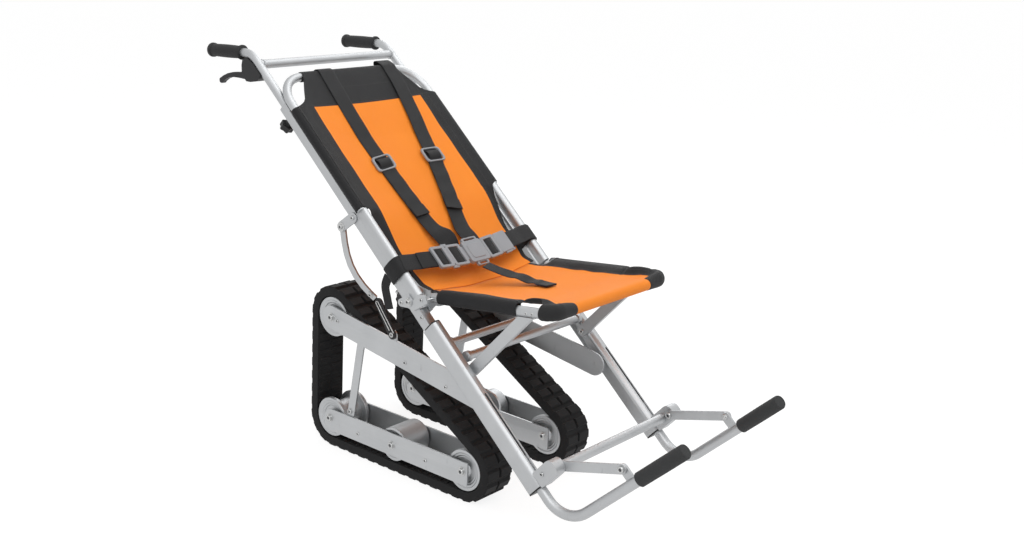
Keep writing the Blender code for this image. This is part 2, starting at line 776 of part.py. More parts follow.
shape = rounded_box(
    (BUCKLE_X - 0.028, BUCKLE_S - 0.030), (BUCKLE_X + 0.028, BUCKLE_S + 0.030), 0.008, 0.008
)
solid(
    "harness_buckle", prism(shape, BUCKLE_V - 0.007, BUCKLE_V + 0.007, rear_of_rail), GREY_PLASTIC,
    RAIL_FRAME,
)


# Carrying frame at the foot
def leg_point(side, v, drop=0.0):
    """A point of the leg's axis at height v, moved by drop along the rail."""
    distance = (v - FOOT_V) / (math.sin(FOOT_BEND) * math.cos(FOOT_SPLAY))
    inward = distance * math.sin(FOOT_BEND) * math.sin(FOOT_SPLAY)
    return on_rail(FOOT_CORNER - distance * math.cos(FOOT_BEND) + drop, v, side * (RAIL_X - inward))


bar = solid(
    "foot_crossbar", prism(circle(FOOT_BAR, 0.012, 16), -RAIL_X, RAIL_X, on_rail), ALUMINIUM,
    RAIL_FRAME,
)
for side_name, sign in SIDES:
    middle = sign * RAIL_X
    top = on_rail(FOOT_TOP, FOOT_V, middle)
    corner = on_rail(FOOT_CORNER, FOOT_V, middle)
    path = filleted([top, corner, leg_point(sign, FOOT_TIP - 0.005)], 0.075, 7)
    leg = solid("foot_tube_" + side_name, sweep(path, FOOT_RADIUS), ALUMINIUM, RAIL_FRAME)
    root = leg_point(sign, FOOT_TAB[1])
    tab_x = abs(root.x)
    tab = capsule((root.z, FOOT_TAB[1]), FOOT_TAB, 0.011)
    join(leg, slab(tab, sign, tab_x - 0.007, tab_x - 0.0012, on_rail))

    grip_ends = (FOOT_GRIP_FROM, FOOT_GRIP_FROM + 0.004, FOOT_TIP - 0.002, FOOT_TIP + 0.002)
    grip_path = [leg_point(sign, v) for v in grip_ends]
    grip = solid(
        "foot_grip_" + side_name, sweep(grip_path, [0.0155, 0.0172, 0.0172, 0.0155], 16), FOAM,
        RAIL_FRAME,
    )
    cut(
        grip,
        sweep(
            [leg_point(sign, FOOT_GRIP_FROM - 0.01), leg_point(sign, FOOT_TIP - 0.005 + GAP)],
            FOOT_RADIUS + GAP,
        ),
    )

    low_v = SLEEVE_FRONT + GAP
    block = rounded_box(
        (FOOT_BAR[0] - 0.020, low_v), (FOOT_BAR[0] + 0.020, FOOT_BAR[1] + 0.037), 0.004, 0.016
    )
    join(bar, slab(block, sign, SLEEVE_IN, SLEEVE_OUT, on_rail))
    join(
        bar,
        prism(
            circle((middle, FOOT_BAR[0] + 0.006), 0.0026, 8), FOOT_V + FOOT_RADIUS + GAP,
            low_v + 0.01, rear_of_rail,
        ),
    )

    link_x = tab_x - 0.0012 + GAP
    link_end = (FOOT_BAR[0] - 0.006, FOOT_BAR[1] + 0.0255)
    link = solid(
        "foot_link_" + side_name,
        slab(capsule(link_end, FOOT_TAB, 0.0115), sign, link_x, SLEEVE_IN - GAP, on_rail),
        ALUMINIUM, RAIL_FRAME,
    )
    for spot in (link_end, FOOT_TAB):
        reach = 0.004 if spot is FOOT_TAB else -0.006
        edge = SLEEVE_IN - GAP if reach > 0 else link_x
        join(
            link,
            slab(
                circle(spot, 0.006, 10), sign, min(edge - 0.001, edge + reach),
                max(edge + 0.001, edge + reach), on_rail,
            ),
        )


# Tracks
def tangent_loop(radius, arc_steps):
    """Side-view outline of a belt of this radius round the three corner wheels."""
    hubs = [HUB_FRONT, HUB_REAR, HUB_TOP]
    points = []
    for i in range(3):
        before = hubs[i - 1]
        hub = hubs[i]
        after = hubs[(i + 1) % 3]
        start = math.atan2(hub[1] - before[1], hub[0] - before[0]) - math.pi / 2
        end = math.atan2(after[1] - hub[1], after[0] - hub[0]) - math.pi / 2
        while end < start:
            end += 2 * math.pi
        points += arc(hub, radius, start, end, arc_steps)
    return points


def resampled(points, count):
    """Evenly spaced points on a closed outline, each with the outline's outward normal."""
    lengths = [0.0]
    closed = points + points[:1]
    for one, two in zip(closed, closed[1:]):
        lengths.append(lengths[-1] + math.dist(one, two))
    spaced = []
    k = 0
    for i in range(count):
        target = lengths[-1] * i / count
        while lengths[k + 1] < target:
            k += 1
        share = (target - lengths[k]) / max(lengths[k + 1] - lengths[k], 1e-9)
        one, two = closed[k], closed[k + 1]
        way = (two[0] - one[0], two[1] - one[1])
        size = max(math.hypot(*way), 1e-9)
        spaced.append((one[0] + way[0] * share, one[1] + way[1] * share, way[1] / size, -way[0] / size))
    return spaced


def loop_length(points):
    return sum(math.dist(one, two) for one, two in zip(points, points[1:] + points[:1]))


def belt_outline():
    base = tangent_loop(BELT_BASE, 12)
    lugs = max(12, round(loop_length(base) / LUG_PITCH))
    outline = []
    for i, (y, z, out_y, out_z) in enumerate(resampled(base, lugs * 4)):
        rise = BELT_OUTER - BELT_BASE if i % 4 in (1, 2) else 0.0
        outline.append((y + out_y * rise, z + out_z * rise))
    return outline


def wheel_profile(radius):
    low, high = BELT_LOW_X + 0.002, BELT_HIGH_X - 0.0015
    half = [
        (0.0, 0.0063), (0.0, 0.017), (0.005, 0.020), (0.005, radius - 0.011),
        (0.0, radius - 0.006), (0.0, radius), (0.011, radius),
    ]
    profile = [(low + depth, r) for depth, r in half]
    profile += [(low + 0.013, radius - 0.016), (high - 0.013, radius - 0.016)]
    profile += [(high - depth, r) for depth, r in reversed(half)]
    return profile


PIVOT_SIDE = rail_to_side(*TRACK_PIVOT)
outer_loop = belt_outline()
LOWEST = min(z for y, z in outer_loop)
for side_name, sign in SIDES:
    track_origin = (0, *PIVOT_SIDE)
    tread = solid(
        "track_belt_" + side_name, slab(outer_loop, sign, BELT_LOW_X, BELT_HIGH_X, on_side),
        RUBBER, CHAIR, track_origin,
    )
    cut(tread, slab(tangent_loop(BELT_INNER, 12), sign, BELT_LOW_X - 0.01, BELT_HIGH_X + 0.01, on_side))

    arm = solid(
        "track_bar_" + side_name,
        slab(capsule(PIVOT_SIDE, HUB_TOP, BAR_HALF, 10), sign, BAR_LOW_X, BAR_HIGH_X, on_side),
        ALUMINIUM, CHAIR, track_origin,
    )
    cut(arm, slab(circle(PIVOT_SIDE, 0.0053, 12), sign, BAR_LOW_X - 0.01, BAR_HIGH_X + 0.01, on_side))
    join(arm, slab(circle(HUB_TOP, 0.006, 12), sign, INNER_LOW_X + 0.001, BAR_HIGH_X + 0.004, on_side))
    join(arm, slab(circle(HUB_TOP, 0.016, 14), sign, INNER_LOW_X, INNER_HIGH_X, on_side))
    ear = capsule((BRACE_LOW[0], BRACE_LOW[1] - BAR_HALF), BRACE_LOW, 0.011)
    join(arm, slab(ear, sign, BAR_LOW_X + 0.0004, BAR_HIGH_X - 0.0004, on_side))
    join(arm, slab(circle(BRACE_LOW, 0.004, 10), sign, BAR_HIGH_X - 0.002, BAR_HIGH_X + 0.0056, on_side))

    plate = [(-0.010, PLATE_LOW_Z - 0.003), (-0.007, PLATE_LOW_Z - 0.006)]
    middle_z = (PLATE_LOW_Z - 0.006 + PLATE_HIGH_Z) / 2
    half_z = (PLATE_HIGH_Z - PLATE_LOW_Z + 0.006) / 2
    plate += arc((HUB_REAR[0] - 0.008, middle_z), half_z, -math.pi / 2, math.pi / 2, 8)
    plate += [(-0.007, PLATE_HIGH_Z), (-0.010, PLATE_HIGH_Z - 0.003)]
    lower = solid(
        "track_frame_" + side_name, slab(plate, sign, BAR_LOW_X, BAR_HIGH_X, on_side), ALUMINIUM,
        CHAIR, track_origin,
    )
    join(lower, slab(plate, sign, INNER_LOW_X, INNER_HIGH_X, on_side))
    for hub in (HUB_FRONT, HUB_MID, HUB_REAR):
        join(lower, slab(circle(hub, 0.006, 12), sign, INNER_LOW_X - 0.003, BAR_HIGH_X + 0.004, on_side))

    upright = capsule((0.402, 0.090), (0.362, 0.335), 0.012, 6)
    solid(
        "track_upright_" + side_name,
        slab(upright, sign, BAR_LOW_X - 0.0053, BAR_LOW_X - GAP, on_side), ALUMINIUM, CHAIR,
        track_origin,
    )

    for label, hub, radius in (("top", HUB_TOP, WHEEL_RADIUS), ("front", HUB_FRONT, WHEEL_RADIUS),
                               ("mid", HUB_MID, IDLER_RADIUS), ("rear", HUB_REAR, WHEEL_RADIUS)):
        profile = [(sign * x, r) for x, r in wheel_profile(radius)]
        solid(f"wheel_{label}_{side_name}", turned(profile, 16, hub), ALUMINIUM, CHAIR, (0, *hub))

    top = rail_to_side(*BRACE_TOP)
    knee_gap = 0.0126
    along = Vector((BRACE_KNEE[0] - top[0], BRACE_KNEE[1] - top[1]))
    along.normalize()
    end = (BRACE_KNEE[0] - along.x * knee_gap, BRACE_KNEE[1] - along.y * knee_gap)
    arm_x = cheek_x - GAP - 0.003
    knee_x = BAR_HIGH_X + 0.0100
    path = []
    for k in (0.0, 0.08, 0.2, 0.35, 0.5, 0.65, 0.8, 0.92, 1.0):
        ease = k ** 3
        bow = 0.020 * math.sin(math.pi * k)
        y = top[0] + (end[0] - top[0]) * k - along.y * bow
        z = top[1] + (end[1] - top[1]) * k + along.x * bow
        path.append(Vector((sign * (arm_x + (knee_x - arm_x) * ease), y, z)))
    strap = solid(
        "brace_arm_" + side_name, ribbon(path, Vector((0, -along.y, along.x)), 0.018, 0.0055),
        ALUMINIUM, CHAIR, (0, *top),
    )
    join(strap, slab(circle(top, 0.0105, 14), sign, arm_x - 0.00275, arm_x + 0.00275, on_side))
    cut(strap, slab(circle(top, 0.0043, 12), sign, arm_x - 0.02, arm_x + 0.02, on_side))

    link = solid(
        "brace_link_" + side_name,
        slab(
            capsule(BRACE_LOW, BRACE_KNEE, 0.012, 6), sign, BAR_HIGH_X + GAP, BAR_HIGH_X + 0.0053,
            on_side,
        ),
        BLACK_PLASTIC, CHAIR, (0, *BRACE_LOW),
    )
    cut(link, slab(circle(BRACE_LOW, 0.0043, 10), sign, BAR_HIGH_X - 0.01, BAR_HIGH_X + 0.02, on_side))


# Stand the chair on z = 0 with its box centred, and report its joints
bpy.context.view_layer.update()
graph = bpy.context.evaluated_depsgraph_get()
low = Vector((1e9, 1e9, 1e9))
high = -low
for piece in bpy.context.scene.collection.objects:
    if piece.type != "MESH" or piece.hide_render:
        continue
    shown = piece.evaluated_get(graph)
    for corner in shown.to_mesh().vertices:
        spot = shown.matrix_world @ corner.co
        low = Vector(map(min, low, spot))
        high = Vector(map(max, high, spot))
    shown.to_mesh_clear()
CHAIR.location = (0, -(low.y + high.y) / 2, -low.z)
bpy.context.view_layer.update()
for piece in bpy.context.scene.collection.objects:
    if piece.type == "MESH" and not piece.hide_render and piece.matrix_basis.translation.length > 0:
        print("origin", piece.name, [round(c, 5) for c in piece.matrix_world.translation])
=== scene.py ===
# %% [markdown]
# # Dressing an evacuation chair
# The packed CAD model already has every rail, wheel and joint in its place.
# This lesson gives it the looks of the real chair: satin metal, ribbed rubber
# tracks, a stretched orange sling and a webbing harness. Nothing is fitted by
# eye, because the frame and the new pieces share one set of coordinates.

# %% Load the frame and keep its box
import json
import math

import bmesh
import bpy
from mathutils import Matrix, Vector

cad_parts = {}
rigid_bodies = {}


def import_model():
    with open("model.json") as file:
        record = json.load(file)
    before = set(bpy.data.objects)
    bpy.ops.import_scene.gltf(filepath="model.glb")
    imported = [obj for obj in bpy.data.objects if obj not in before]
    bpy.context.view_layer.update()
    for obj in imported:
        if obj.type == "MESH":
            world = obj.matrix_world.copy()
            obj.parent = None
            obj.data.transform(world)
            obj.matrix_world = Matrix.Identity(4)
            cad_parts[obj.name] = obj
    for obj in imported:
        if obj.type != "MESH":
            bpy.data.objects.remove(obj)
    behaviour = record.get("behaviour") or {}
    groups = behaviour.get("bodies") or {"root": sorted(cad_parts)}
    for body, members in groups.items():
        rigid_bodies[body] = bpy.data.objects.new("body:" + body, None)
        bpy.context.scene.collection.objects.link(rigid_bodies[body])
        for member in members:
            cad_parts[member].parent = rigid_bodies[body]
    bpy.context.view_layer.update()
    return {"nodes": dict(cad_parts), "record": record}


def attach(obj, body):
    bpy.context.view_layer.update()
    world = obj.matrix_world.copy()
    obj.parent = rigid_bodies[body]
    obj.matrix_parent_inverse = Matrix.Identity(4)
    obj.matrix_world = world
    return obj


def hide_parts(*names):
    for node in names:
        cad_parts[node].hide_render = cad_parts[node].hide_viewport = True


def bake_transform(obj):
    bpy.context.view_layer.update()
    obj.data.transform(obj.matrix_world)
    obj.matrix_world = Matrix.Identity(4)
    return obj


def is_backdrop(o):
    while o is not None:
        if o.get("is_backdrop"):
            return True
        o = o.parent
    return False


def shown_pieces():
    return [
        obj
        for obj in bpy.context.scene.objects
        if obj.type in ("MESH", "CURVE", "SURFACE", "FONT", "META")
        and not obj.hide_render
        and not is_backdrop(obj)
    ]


for leftover in list(bpy.data.objects):
    bpy.data.objects.remove(leftover)
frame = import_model()


def short(numbers, digits=3):
    """Numbers rounded for printing."""
    return [round(number, digits) for number in numbers]


# %% [markdown]
# The chair is one long slope with a seat hung on it, so points are easiest to
# give along that slope. Three small functions turn such numbers into world
# points: on_rail along the sloping rails, on_seat along the seat tubes, and
# on_track in the upright plane of the tracks. All lengths are in metres.

# %% Places on the chair
RAIL_FOOT = Vector((0, 0.00829, 0.489))
UP_RAIL = Vector((0, 0.748956, 0.66262))
OUT_OF_RAIL = Vector((0, -0.66262, 0.748956))
ACROSS = Vector((1, 0, 0))
RAIL_SLOPE, SEAT_SLOPE = 41.5, 6.7
SEAT_TURN = math.radians(180 - SEAT_SLOPE - RAIL_SLOPE)
TRACK_SHIFT = 0.14471
RAIL_X, SEAT_X, SEAT_FRONT = 0.235, 0.2145, 0.402
SIDES = {"right": -1, "left": 1}


def on_rail(x, s, v):
    """s up the rails, v square to them towards the sitter, x to the sitter's left."""
    return RAIL_FOOT + ACROSS * x + UP_RAIL * s + OUT_OF_RAIL * v


def on_seat(x, t, w):
    """t forward along the seat tubes, w square up from them."""
    cos, sin = math.cos(SEAT_TURN), math.sin(SEAT_TURN)
    return on_rail(x, t * cos + w * sin, t * sin - w * cos)


def on_track(x, y, z):
    """y back from the front wheel, z up from the floor."""
    return Vector((x, y - TRACK_SHIFT, z))


SEAT_UP = on_seat(0, 0, 1) - on_seat(0, 0, 0)
SEAT_FORWARD = on_seat(0, 1, 0) - on_seat(0, 0, 0)
print("seat front middle is at", short(on_seat(0, SEAT_FRONT, 0)))

# %% [markdown]
# The picture was taken from the chair's front right, a little above the seat.
# A camera is set from its own three axes, so a slight roll is kept as well.

# %% Camera
BACK = Vector((-0.7445, -0.6064, 0.2794)).normalized()
RIGHT = Vector((0.6414, -0.7658, 0.0468))
RIGHT = (RIGHT - BACK * RIGHT.dot(BACK)).normalized()
CAMERA_SPOT = (-2.3655, -2.0228, 1.3985)
lens = bpy.data.cameras.new("photo_camera")
lens.lens = 45.76
lens.sensor_width = 36
lens.clip_start = 0.05
viewer = bpy.data.objects.new("photo_camera", lens)
bpy.context.scene.collection.objects.link(viewer)
turn = Matrix((RIGHT, BACK.cross(RIGHT), BACK)).transposed().to_4x4()
viewer.matrix_world = Matrix.Translation(CAMERA_SPOT) @ turn
bpy.context.scene.camera = viewer
bpy.context.scene.view_settings.view_transform = "Standard"
print("camera looks along", short(-BACK))

# %% [markdown]
# A finish is easier to read as sums than as a picture of nodes. Wire wraps a
# socket, and each operator on it adds one Math node. Finish owns a material,
# and its node method adds any other node: type, settings, sockets. Numbers
# that don't vary go straight onto the shader's sockets.


# %% Sums on sockets
class Wire:
    """A socket that takes part in sums with numbers and other wires."""

    def __init__(self, finish, socket):
        self.finish = finish
        self.socket = socket

    def reckon(self, operation, *terms):
        settings = {"operation": operation}
        return self.finish.node("ShaderNodeMath", settings, dict(enumerate(terms)))

    def __add__(self, other):
        return self.reckon("ADD", self, other)

    def __radd__(self, other):
        return self.reckon("ADD", other, self)

    def __sub__(self, other):
        return self.reckon("SUBTRACT", self, other)

    def __rsub__(self, other):
        return self.reckon("SUBTRACT", other, self)

    def __mul__(self, other):
        return self.reckon("MULTIPLY", self, other)

    def __rmul__(self, other):
        return self.reckon("MULTIPLY", other, self)

    def __truediv__(self, other):
        return self.reckon("DIVIDE", self, other)

    def __abs__(self):
        return self.reckon("ABSOLUTE", self)

    def sine(self):
        return self.reckon("SINE", self)

    def fraction(self):
        return self.reckon("FRACT", self)

    def larger(self, other):
        return self.reckon("MAXIMUM", self, other)

    def ramp(self, low, high):
        """0 below low, 1 above high, eased in between."""
        settings = {"interpolation_type": "SMOOTHSTEP"}
        ends = {"Value": self, "From Min": low, "From Max": high}
        return self.finish.node("ShaderNodeMapRange", settings, ends)


print("a wire can", ", ".join(name for name in vars(Wire) if not name.startswith("_")))


# %% Finishes
class Finish:
    """A material, or a world, whose shader is fed by wires."""

    def __init__(self, name, owner=None, shader="Principled BSDF"):
        self.material = owner or bpy.data.materials.new(name)
        self.material.use_nodes = True
        self.tree = self.material.node_tree
        self.shader = self.tree.nodes[shader]

    def join(self, value, socket):
        if isinstance(value, Wire):
            self.tree.links.new(value.socket, socket)
        else:
            socket.default_value = value

    def node(self, kind, settings=None, sockets=None, out=0):
        made = self.tree.nodes.new(kind)
        for key, value in (settings or {}).items():
            setattr(made, key, value)
        for key, value in (sockets or {}).items():
            self.join(value, made.inputs[key])
        return Wire(self, made.outputs[out])

    def noise(self, scale, detail=3.0, stretch=None, rough=0.55):
        spot = self.node("ShaderNodeTexCoord", out="Object")
        if stretch:
            times = {"operation": "MULTIPLY"}
            spot = self.node("ShaderNodeVectorMath", times, {0: spot, 1: stretch})
        wanted = {"Vector": spot, "Scale": scale, "Detail": detail, "Roughness": rough}
        return self.node("ShaderNodeTexNoise", None, wanted)

    def blend(self, share, first, second):
        """Mixes two colours by a wire from 0 to 1."""
        ends = [(*end, 1.0) if isinstance(end, tuple) else end for end in (first, second)]
        sockets = {0: share, 6: ends[0], 7: ends[1]}
        return self.node("ShaderNodeMix", {"data_type": "RGBA"}, sockets, out=2)

    def lay(self):
        """The three lengths that a woven piece stores on its points."""
        stored = self.node("ShaderNodeAttribute", {"attribute_name": "lay"}, out="Vector")
        return [self.node("ShaderNodeSeparateXYZ", None, {0: stored}, out=i) for i in range(3)]

    def relief(self, height, depth, softened=0.0):
        """Bump of the given depth, over rounded edges where softened is set."""
        wanted = {"Height": height, "Distance": depth, "Strength": 1.0}
        if softened:
            wanted["Normal"] = self.node("ShaderNodeBevel", {"samples": 4}, {"Radius": softened})
        self.set(Normal=self.node("ShaderNodeBump", None, wanted))

    def set(self, **sockets):
        """Sets or joins the shader's sockets; an underscore stands for a space."""
        for key, value in sockets.items():
            name = "Specular IOR Level" if key == "Specular" else key.replace("_", " ")
            colour = isinstance(value, tuple) and len(value) == 3
            self.join((*value, 1.0) if colour else value, self.shader.inputs[name])

    def shown(self):
        """1 on the rays that show a thing to the eye, 0 on the light that falls on others."""
        rays = ("Is Camera Ray", "Is Glossy Ray", "Is Transmission Ray")
        seen, mirrored, clear = [self.node("ShaderNodeLightPath", out=ray) for ray in rays]
        return seen.larger(mirrored).larger(clear)

    def mix_into(self, output, share, other):
        """Mixes the shader with another one by a wire and sends both to the output."""
        own = Wire(self, self.shader.outputs[0])
        both = self.node("ShaderNodeMixShader", None, {0: share, 1: own, 2: other})
        self.join(both, self.tree.nodes[output].inputs["Surface"])


print("a finish can", ", ".join(name for name in vars(Finish) if not name.startswith("_")))

# %% [markdown]
# A studio sweep: one wide white floor and a white world. The camera and the
# reflections see the world at strength 1, which is white, while other rays get
# a softer grey, so metal stays grey and not blown out. The floor mixes a plain
# white coat with a little glow that only the eye sees, so that it meets the
# background without an edge and still takes the chair's shadow.

# %% Floor and light
WHITE = (1, 1, 1, 1)
sweep = bmesh.new()
bmesh.ops.create_grid(sweep, x_segments=1, y_segments=1, size=30)
floor_mesh = bpy.data.meshes.new("studio_floor")
sweep.to_mesh(floor_mesh)
sweep.free()
studio_floor = bpy.data.objects.new("studio_floor", floor_mesh)
bpy.context.scene.collection.objects.link(studio_floor)
studio_floor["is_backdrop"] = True

paper = Finish("white_sweep")
paper.set(Base_Color=(0.86, 0.86, 0.86), Roughness=0.9)
glow = paper.node("ShaderNodeEmission", None, {"Color": WHITE, "Strength": 1.2})
paper.mix_into("Material Output", paper.shown() * 0.72, glow)
floor_mesh.materials.append(paper.material)

room = Finish("studio_room", bpy.data.worlds.new("studio_room"), "Background")
room.set(Color=WHITE, Strength=0.50)
white = room.node("ShaderNodeBackground", None, {"Color": WHITE, "Strength": 1.0})
room.mix_into("World Output", room.shown(), white)
bpy.context.scene.world = room.material


def soft_box(name, place, target, width, height, watts):
    lamp = bpy.data.lights.new(name, "AREA")
    lamp.shape = "RECTANGLE"
    lamp.size = width
    lamp.size_y = height
    lamp.energy = watts
    holder = bpy.data.objects.new(name, lamp)
    holder.location = place
    aim = Vector(target) - Vector(place)
    holder.rotation_euler = aim.to_track_quat("-Z", "Y").to_euler()
    bpy.context.scene.collection.objects.link(holder)


soft_box("key_box", (-2.6, -2.2, 3.4), (0, 0, 0.5), 2.4, 1.8, 52)
soft_box("top_box", (0.6, -0.6, 3.6), (0, 0, 0.4), 3.0, 2.4, 44)
soft_box("rim_box", (2.6, 1.6, 2.2), (0, 0.1, 0.5), 1.6, 2.0, 22)
boxes = [lamp.name for lamp in bpy.data.lights if lamp.type == "AREA"]
print("stage set with", len(boxes), "soft boxes")

# %% [markdown]
# Most of the chair is aluminium: drawn rails and bent tubes with a satin
# anodised skin, and cut plates with a faint brushed line. Both are full metal
# with a middling roughness. Slow clouds of noise keep the skin from looking
# like plastic, a fine grain makes the bump, and rare scuffs dull it. A Bevel
# node rounds the shading of sharp edges, which is where metal catches light.


# %% Metal finishes
def metal(name, dark, light, roughness, drawn=None):
    made = Finish(name)
    cloud = made.noise(11, 4)
    grain = made.noise(2600, 2)
    lines = made.noise(300, 2, stretch=drawn)
    scuff = made.noise(75, 5, stretch=(1, 1, 0.3)).ramp(0.64, 0.74)
    made.set(
        Base_Color=made.blend((cloud * 0.8 + lines * 0.3 - scuff * 0.25), dark, light),
        Metallic=1.0,
        Roughness=roughness + cloud * 0.10 + lines * 0.06 + scuff * 0.08,
    )
    made.relief(grain * 0.5 + lines * 0.5 - scuff * 0.6, 0.00003, 0.0006)
    return made


GREY = (0.40, 0.41, 0.42)
satin_tube = metal("satin_tube", GREY, (0.53, 0.54, 0.55), 0.42, (1, 0.12, 0.12))
brushed_plate = metal("brushed_plate", GREY, (0.54, 0.55, 0.56), 0.40, (1, 0.05, 1))
zinc = metal("zinc_fastener", (0.36, 0.37, 0.38), (0.62, 0.62, 0.61), 0.20)
# painted shade: this near-black metal only colours the discs that stand for the shadow inside each
# socket
socket_shade_paint = metal("painted_socket_shade", (0.05, 0.05, 0.055), (0.11, 0.11, 0.115), 0.40)
print("metals:", satin_tube.material.name, brushed_plate.material.name, zinc.material.name)

# %% [markdown]
# The black parts differ more in surface than in colour. Moulded plastic has a
# fine spark-eroded grain, the track rubber is dull with pale rubbed tops, the
# push grips are ribbed rubber and the carrying grips are closed-cell foam, so
# each one gets its own bump and roughness.


# %% Plastic, rubber and foam
def moulded(name, dark, light, roughness, size, depth, dust=0.0):
    made = Finish(name)
    made.set(Specular=0.18 if dust else 0.32)
    cloud = made.noise(30, 4)
    grain = made.noise(size, 3, rough=0.7)
    rub = made.noise(120, 5).ramp(0.58, 0.72) * dust
    made.set(
        Base_Color=made.blend(cloud * 0.7 + rub, dark, light),
        Roughness=roughness + grain * 0.12 + rub * 0.15,
    )
    made.relief(grain, depth, 0.0005)
    return made


black_plastic = moulded(
    "black_plastic_grain", (0.010, 0.010, 0.011), (0.022, 0.022, 0.024), 0.38, 1900, 0.00005
)
grey_plastic = moulded(
    "grey_buckle_plastic", (0.27, 0.28, 0.30), (0.34, 0.35, 0.37), 0.32, 2200, 0.00004
)
track_rubber = moulded(
    "track_rubber_finish", (0.008, 0.008, 0.009), (0.024, 0.024, 0.024), 0.62, 900, 0.0001, 0.8
)
grip_rubber = moulded(
    "push_grip_rubber", (0.014, 0.014, 0.015), (0.028, 0.028, 0.029), 0.55, 1400, 0.00008
)
foam = Finish("carry_grip_foam")
where = foam.node("ShaderNodeTexCoord", out="Object")
cells = foam.node("ShaderNodeTexVoronoi", None, {"Vector": where, "Scale": 950.0})
pores = cells.ramp(0.1, 0.75)
tone = pores * 0.6 + foam.noise(25) * 0.4
foam.set(Base_Color=foam.blend(tone, (0.020, 0.021, 0.022), (0.040, 0.041, 0.042)))
foam.set(Roughness=0.86)
foam.relief(1 - pores, 0.00018)
print("finishes:", ", ".join(made.name for made in bpy.data.materials if made.use_nodes))

# %% [markdown]
# The packed nodes are plain triangles with hard edges. Where a node's shape is
# right, a polished twin stands for it: the same corners welded together, flat
# faces merged, and each hard edge given a small round. Building it from the
# node itself keeps it exactly in place.


# %% Polished twins of the CAD nodes
BODY_OF = {}
for body_name, members in frame["record"]["behaviour"]["bodies"].items():
    for member in members:
        BODY_OF[member] = body_name


def piece(name, mesh, finish, body, stands_for=(), smooth=32):
    """Turns a bmesh into an object that rides on a body and takes a finish."""
    data = bpy.data.meshes.new(name)
    mesh.to_mesh(data)
    mesh.free()
    made = bpy.data.objects.new(name, data)
    bpy.context.scene.collection.objects.link(made)
    data.materials.append(finish.material)
    data.shade_smooth()
    data.set_sharp_from_angle(angle=math.radians(smooth))
    if body:
        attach(made, body)
    if stands_for:
        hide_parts(*stands_for)
    return made


def weld(mesh, gap=0.00001):
    bmesh.ops.remove_doubles(mesh, verts=mesh.verts, dist=gap)


def polish(node, finish, edge=0.0007):
    twin = bmesh.new()
    twin.from_mesh(frame["nodes"][node].data)
    weld(twin, 0.00002)
    level = math.radians(0.6)
    bmesh.ops.dissolve_limit(twin, angle_limit=level, verts=twin.verts, edges=twin.edges)
    made = piece(node + "_finish", twin, finish, BODY_OF[node], (node,))
    if edge:
        round_off = made.modifiers.new("edge_round", "BEVEL")
        round_off.width = edge
        round_off.segments = 2
        round_off.limit_method = "ANGLE"
        round_off.angle_limit = math.radians(40)
        round_off.harden_normals = True


PLATES = ("hinge_bracket_", "brace_bracket_", "track_bar_", "track_frame_", "track_upright_")
PLATES += ("strut_", "brace_arm_")
for side in SIDES:
    for node in ("back_rail_", "lower_rail_"):
        polish(node + side, satin_tube, 0.0)
    for node in PLATES:
        polish(node + side, brushed_plate)
    for node in ("rail_plug_", "clamp_knob_", "brace_link_"):
        polish(node + side, black_plastic, 0.0009)
    polish("foot_link_" + side, satin_tube, 0.0016)
polish("brake_clamp", black_plastic, 0.0016)
polish("brake_lever", black_plastic, 0.0022)
polish("foot_crossbar", satin_tube, 0.0012)
polish("seat_frame", satin_tube, 0.0005)
twins = [made.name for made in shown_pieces() if made.name.endswith("_finish")]
print("polished", len(twins), "nodes")

# %% [markdown]
# Bent tubes show every facet in their outline, so they are drawn again with
# more sides. A tube is a ring carried along a path: each new ring is turned
# only as much as the path turns, which keeps it from twisting. Given a list of
# radii on a straight path, the same idea makes turned parts such as grips. The
# hoop's bare lower legs have a flat side that is flush with the rails.


# %% Bent tubes and turned parts
def rounded_path(corners, radius, steps=14):
    """Straight runs with one round bend at each inner corner."""
    path = [corners[0]]
    for before, corner, after in zip(corners, corners[1:], corners[2:]):
        one = (before - corner).normalized()
        two = (after - corner).normalized()
        half = one.angle(two) / 2
        centre = corner + (one + two).normalized() * (radius / math.sin(half))
        start = corner + one * (radius / math.tan(half)) - centre
        end = corner + two * (radius / math.tan(half)) - centre
        axis = start.cross(end)
        for i in range(steps + 1):
            turned_by = Matrix.Rotation(start.angle(end) * i / steps, 3, axis)
            path.append(centre + turned_by @ start)
    path.append(corners[-1])
    return path


def skin(mesh, rings, capped=True):
    """Faces between rings of points, with both ends closed; gives back the corners."""
    loops = [[mesh.verts.new(point) for point in ring] for ring in rings]
    count = len(loops[0])
    for one, two in zip(loops, loops[1:]):
        for k in range(count):
            j = (k + 1) % count
            mesh.faces.new((one[k], one[j], two[j], two[k]))
    if capped:
        mesh.faces.new(loops[0][::-1])
        mesh.faces.new(loops[-1])
    return loops


def face_out(mesh):
    bmesh.ops.recalc_face_normals(mesh, faces=mesh.faces)


def heading(path, i):
    """The way a path runs at one of its points."""
    return (path[min(i + 1, len(path) - 1)] - path[max(i - 1, 0)]).normalized()


def circle(middle, side, other, radius, sides):
    angles = [2 * math.pi * k / sides for k in range(sides)]
    return [middle + (side * math.cos(a) + other * math.sin(a)) * radius for a in angles]


def tube(mesh, path, radius, sides=28):
    rings = []
    side = heading(path, 0).orthogonal()
    for i, point in enumerate(path):
        way = heading(path, i)
        side = (side - way * side.dot(way)).normalized()
        rings.append(circle(point, side, way.cross(side), radius, sides))
    skin(mesh, rings)


NEEDLE = 0.00005


def turned(mesh, start, axis, profile, sides=32):
    """A lathe shape: profile lists how far along the axis, and the radius there."""
    axis = axis.normalized()
    side = axis.orthogonal().normalized()
    other = axis.cross(side)
    rings = []
    for along, radius in profile:
        rings.append(circle(start + axis * along, side, other, max(radius, NEEDLE), sides))
    skin(mesh, rings)


print("tube and lathe helpers ready")

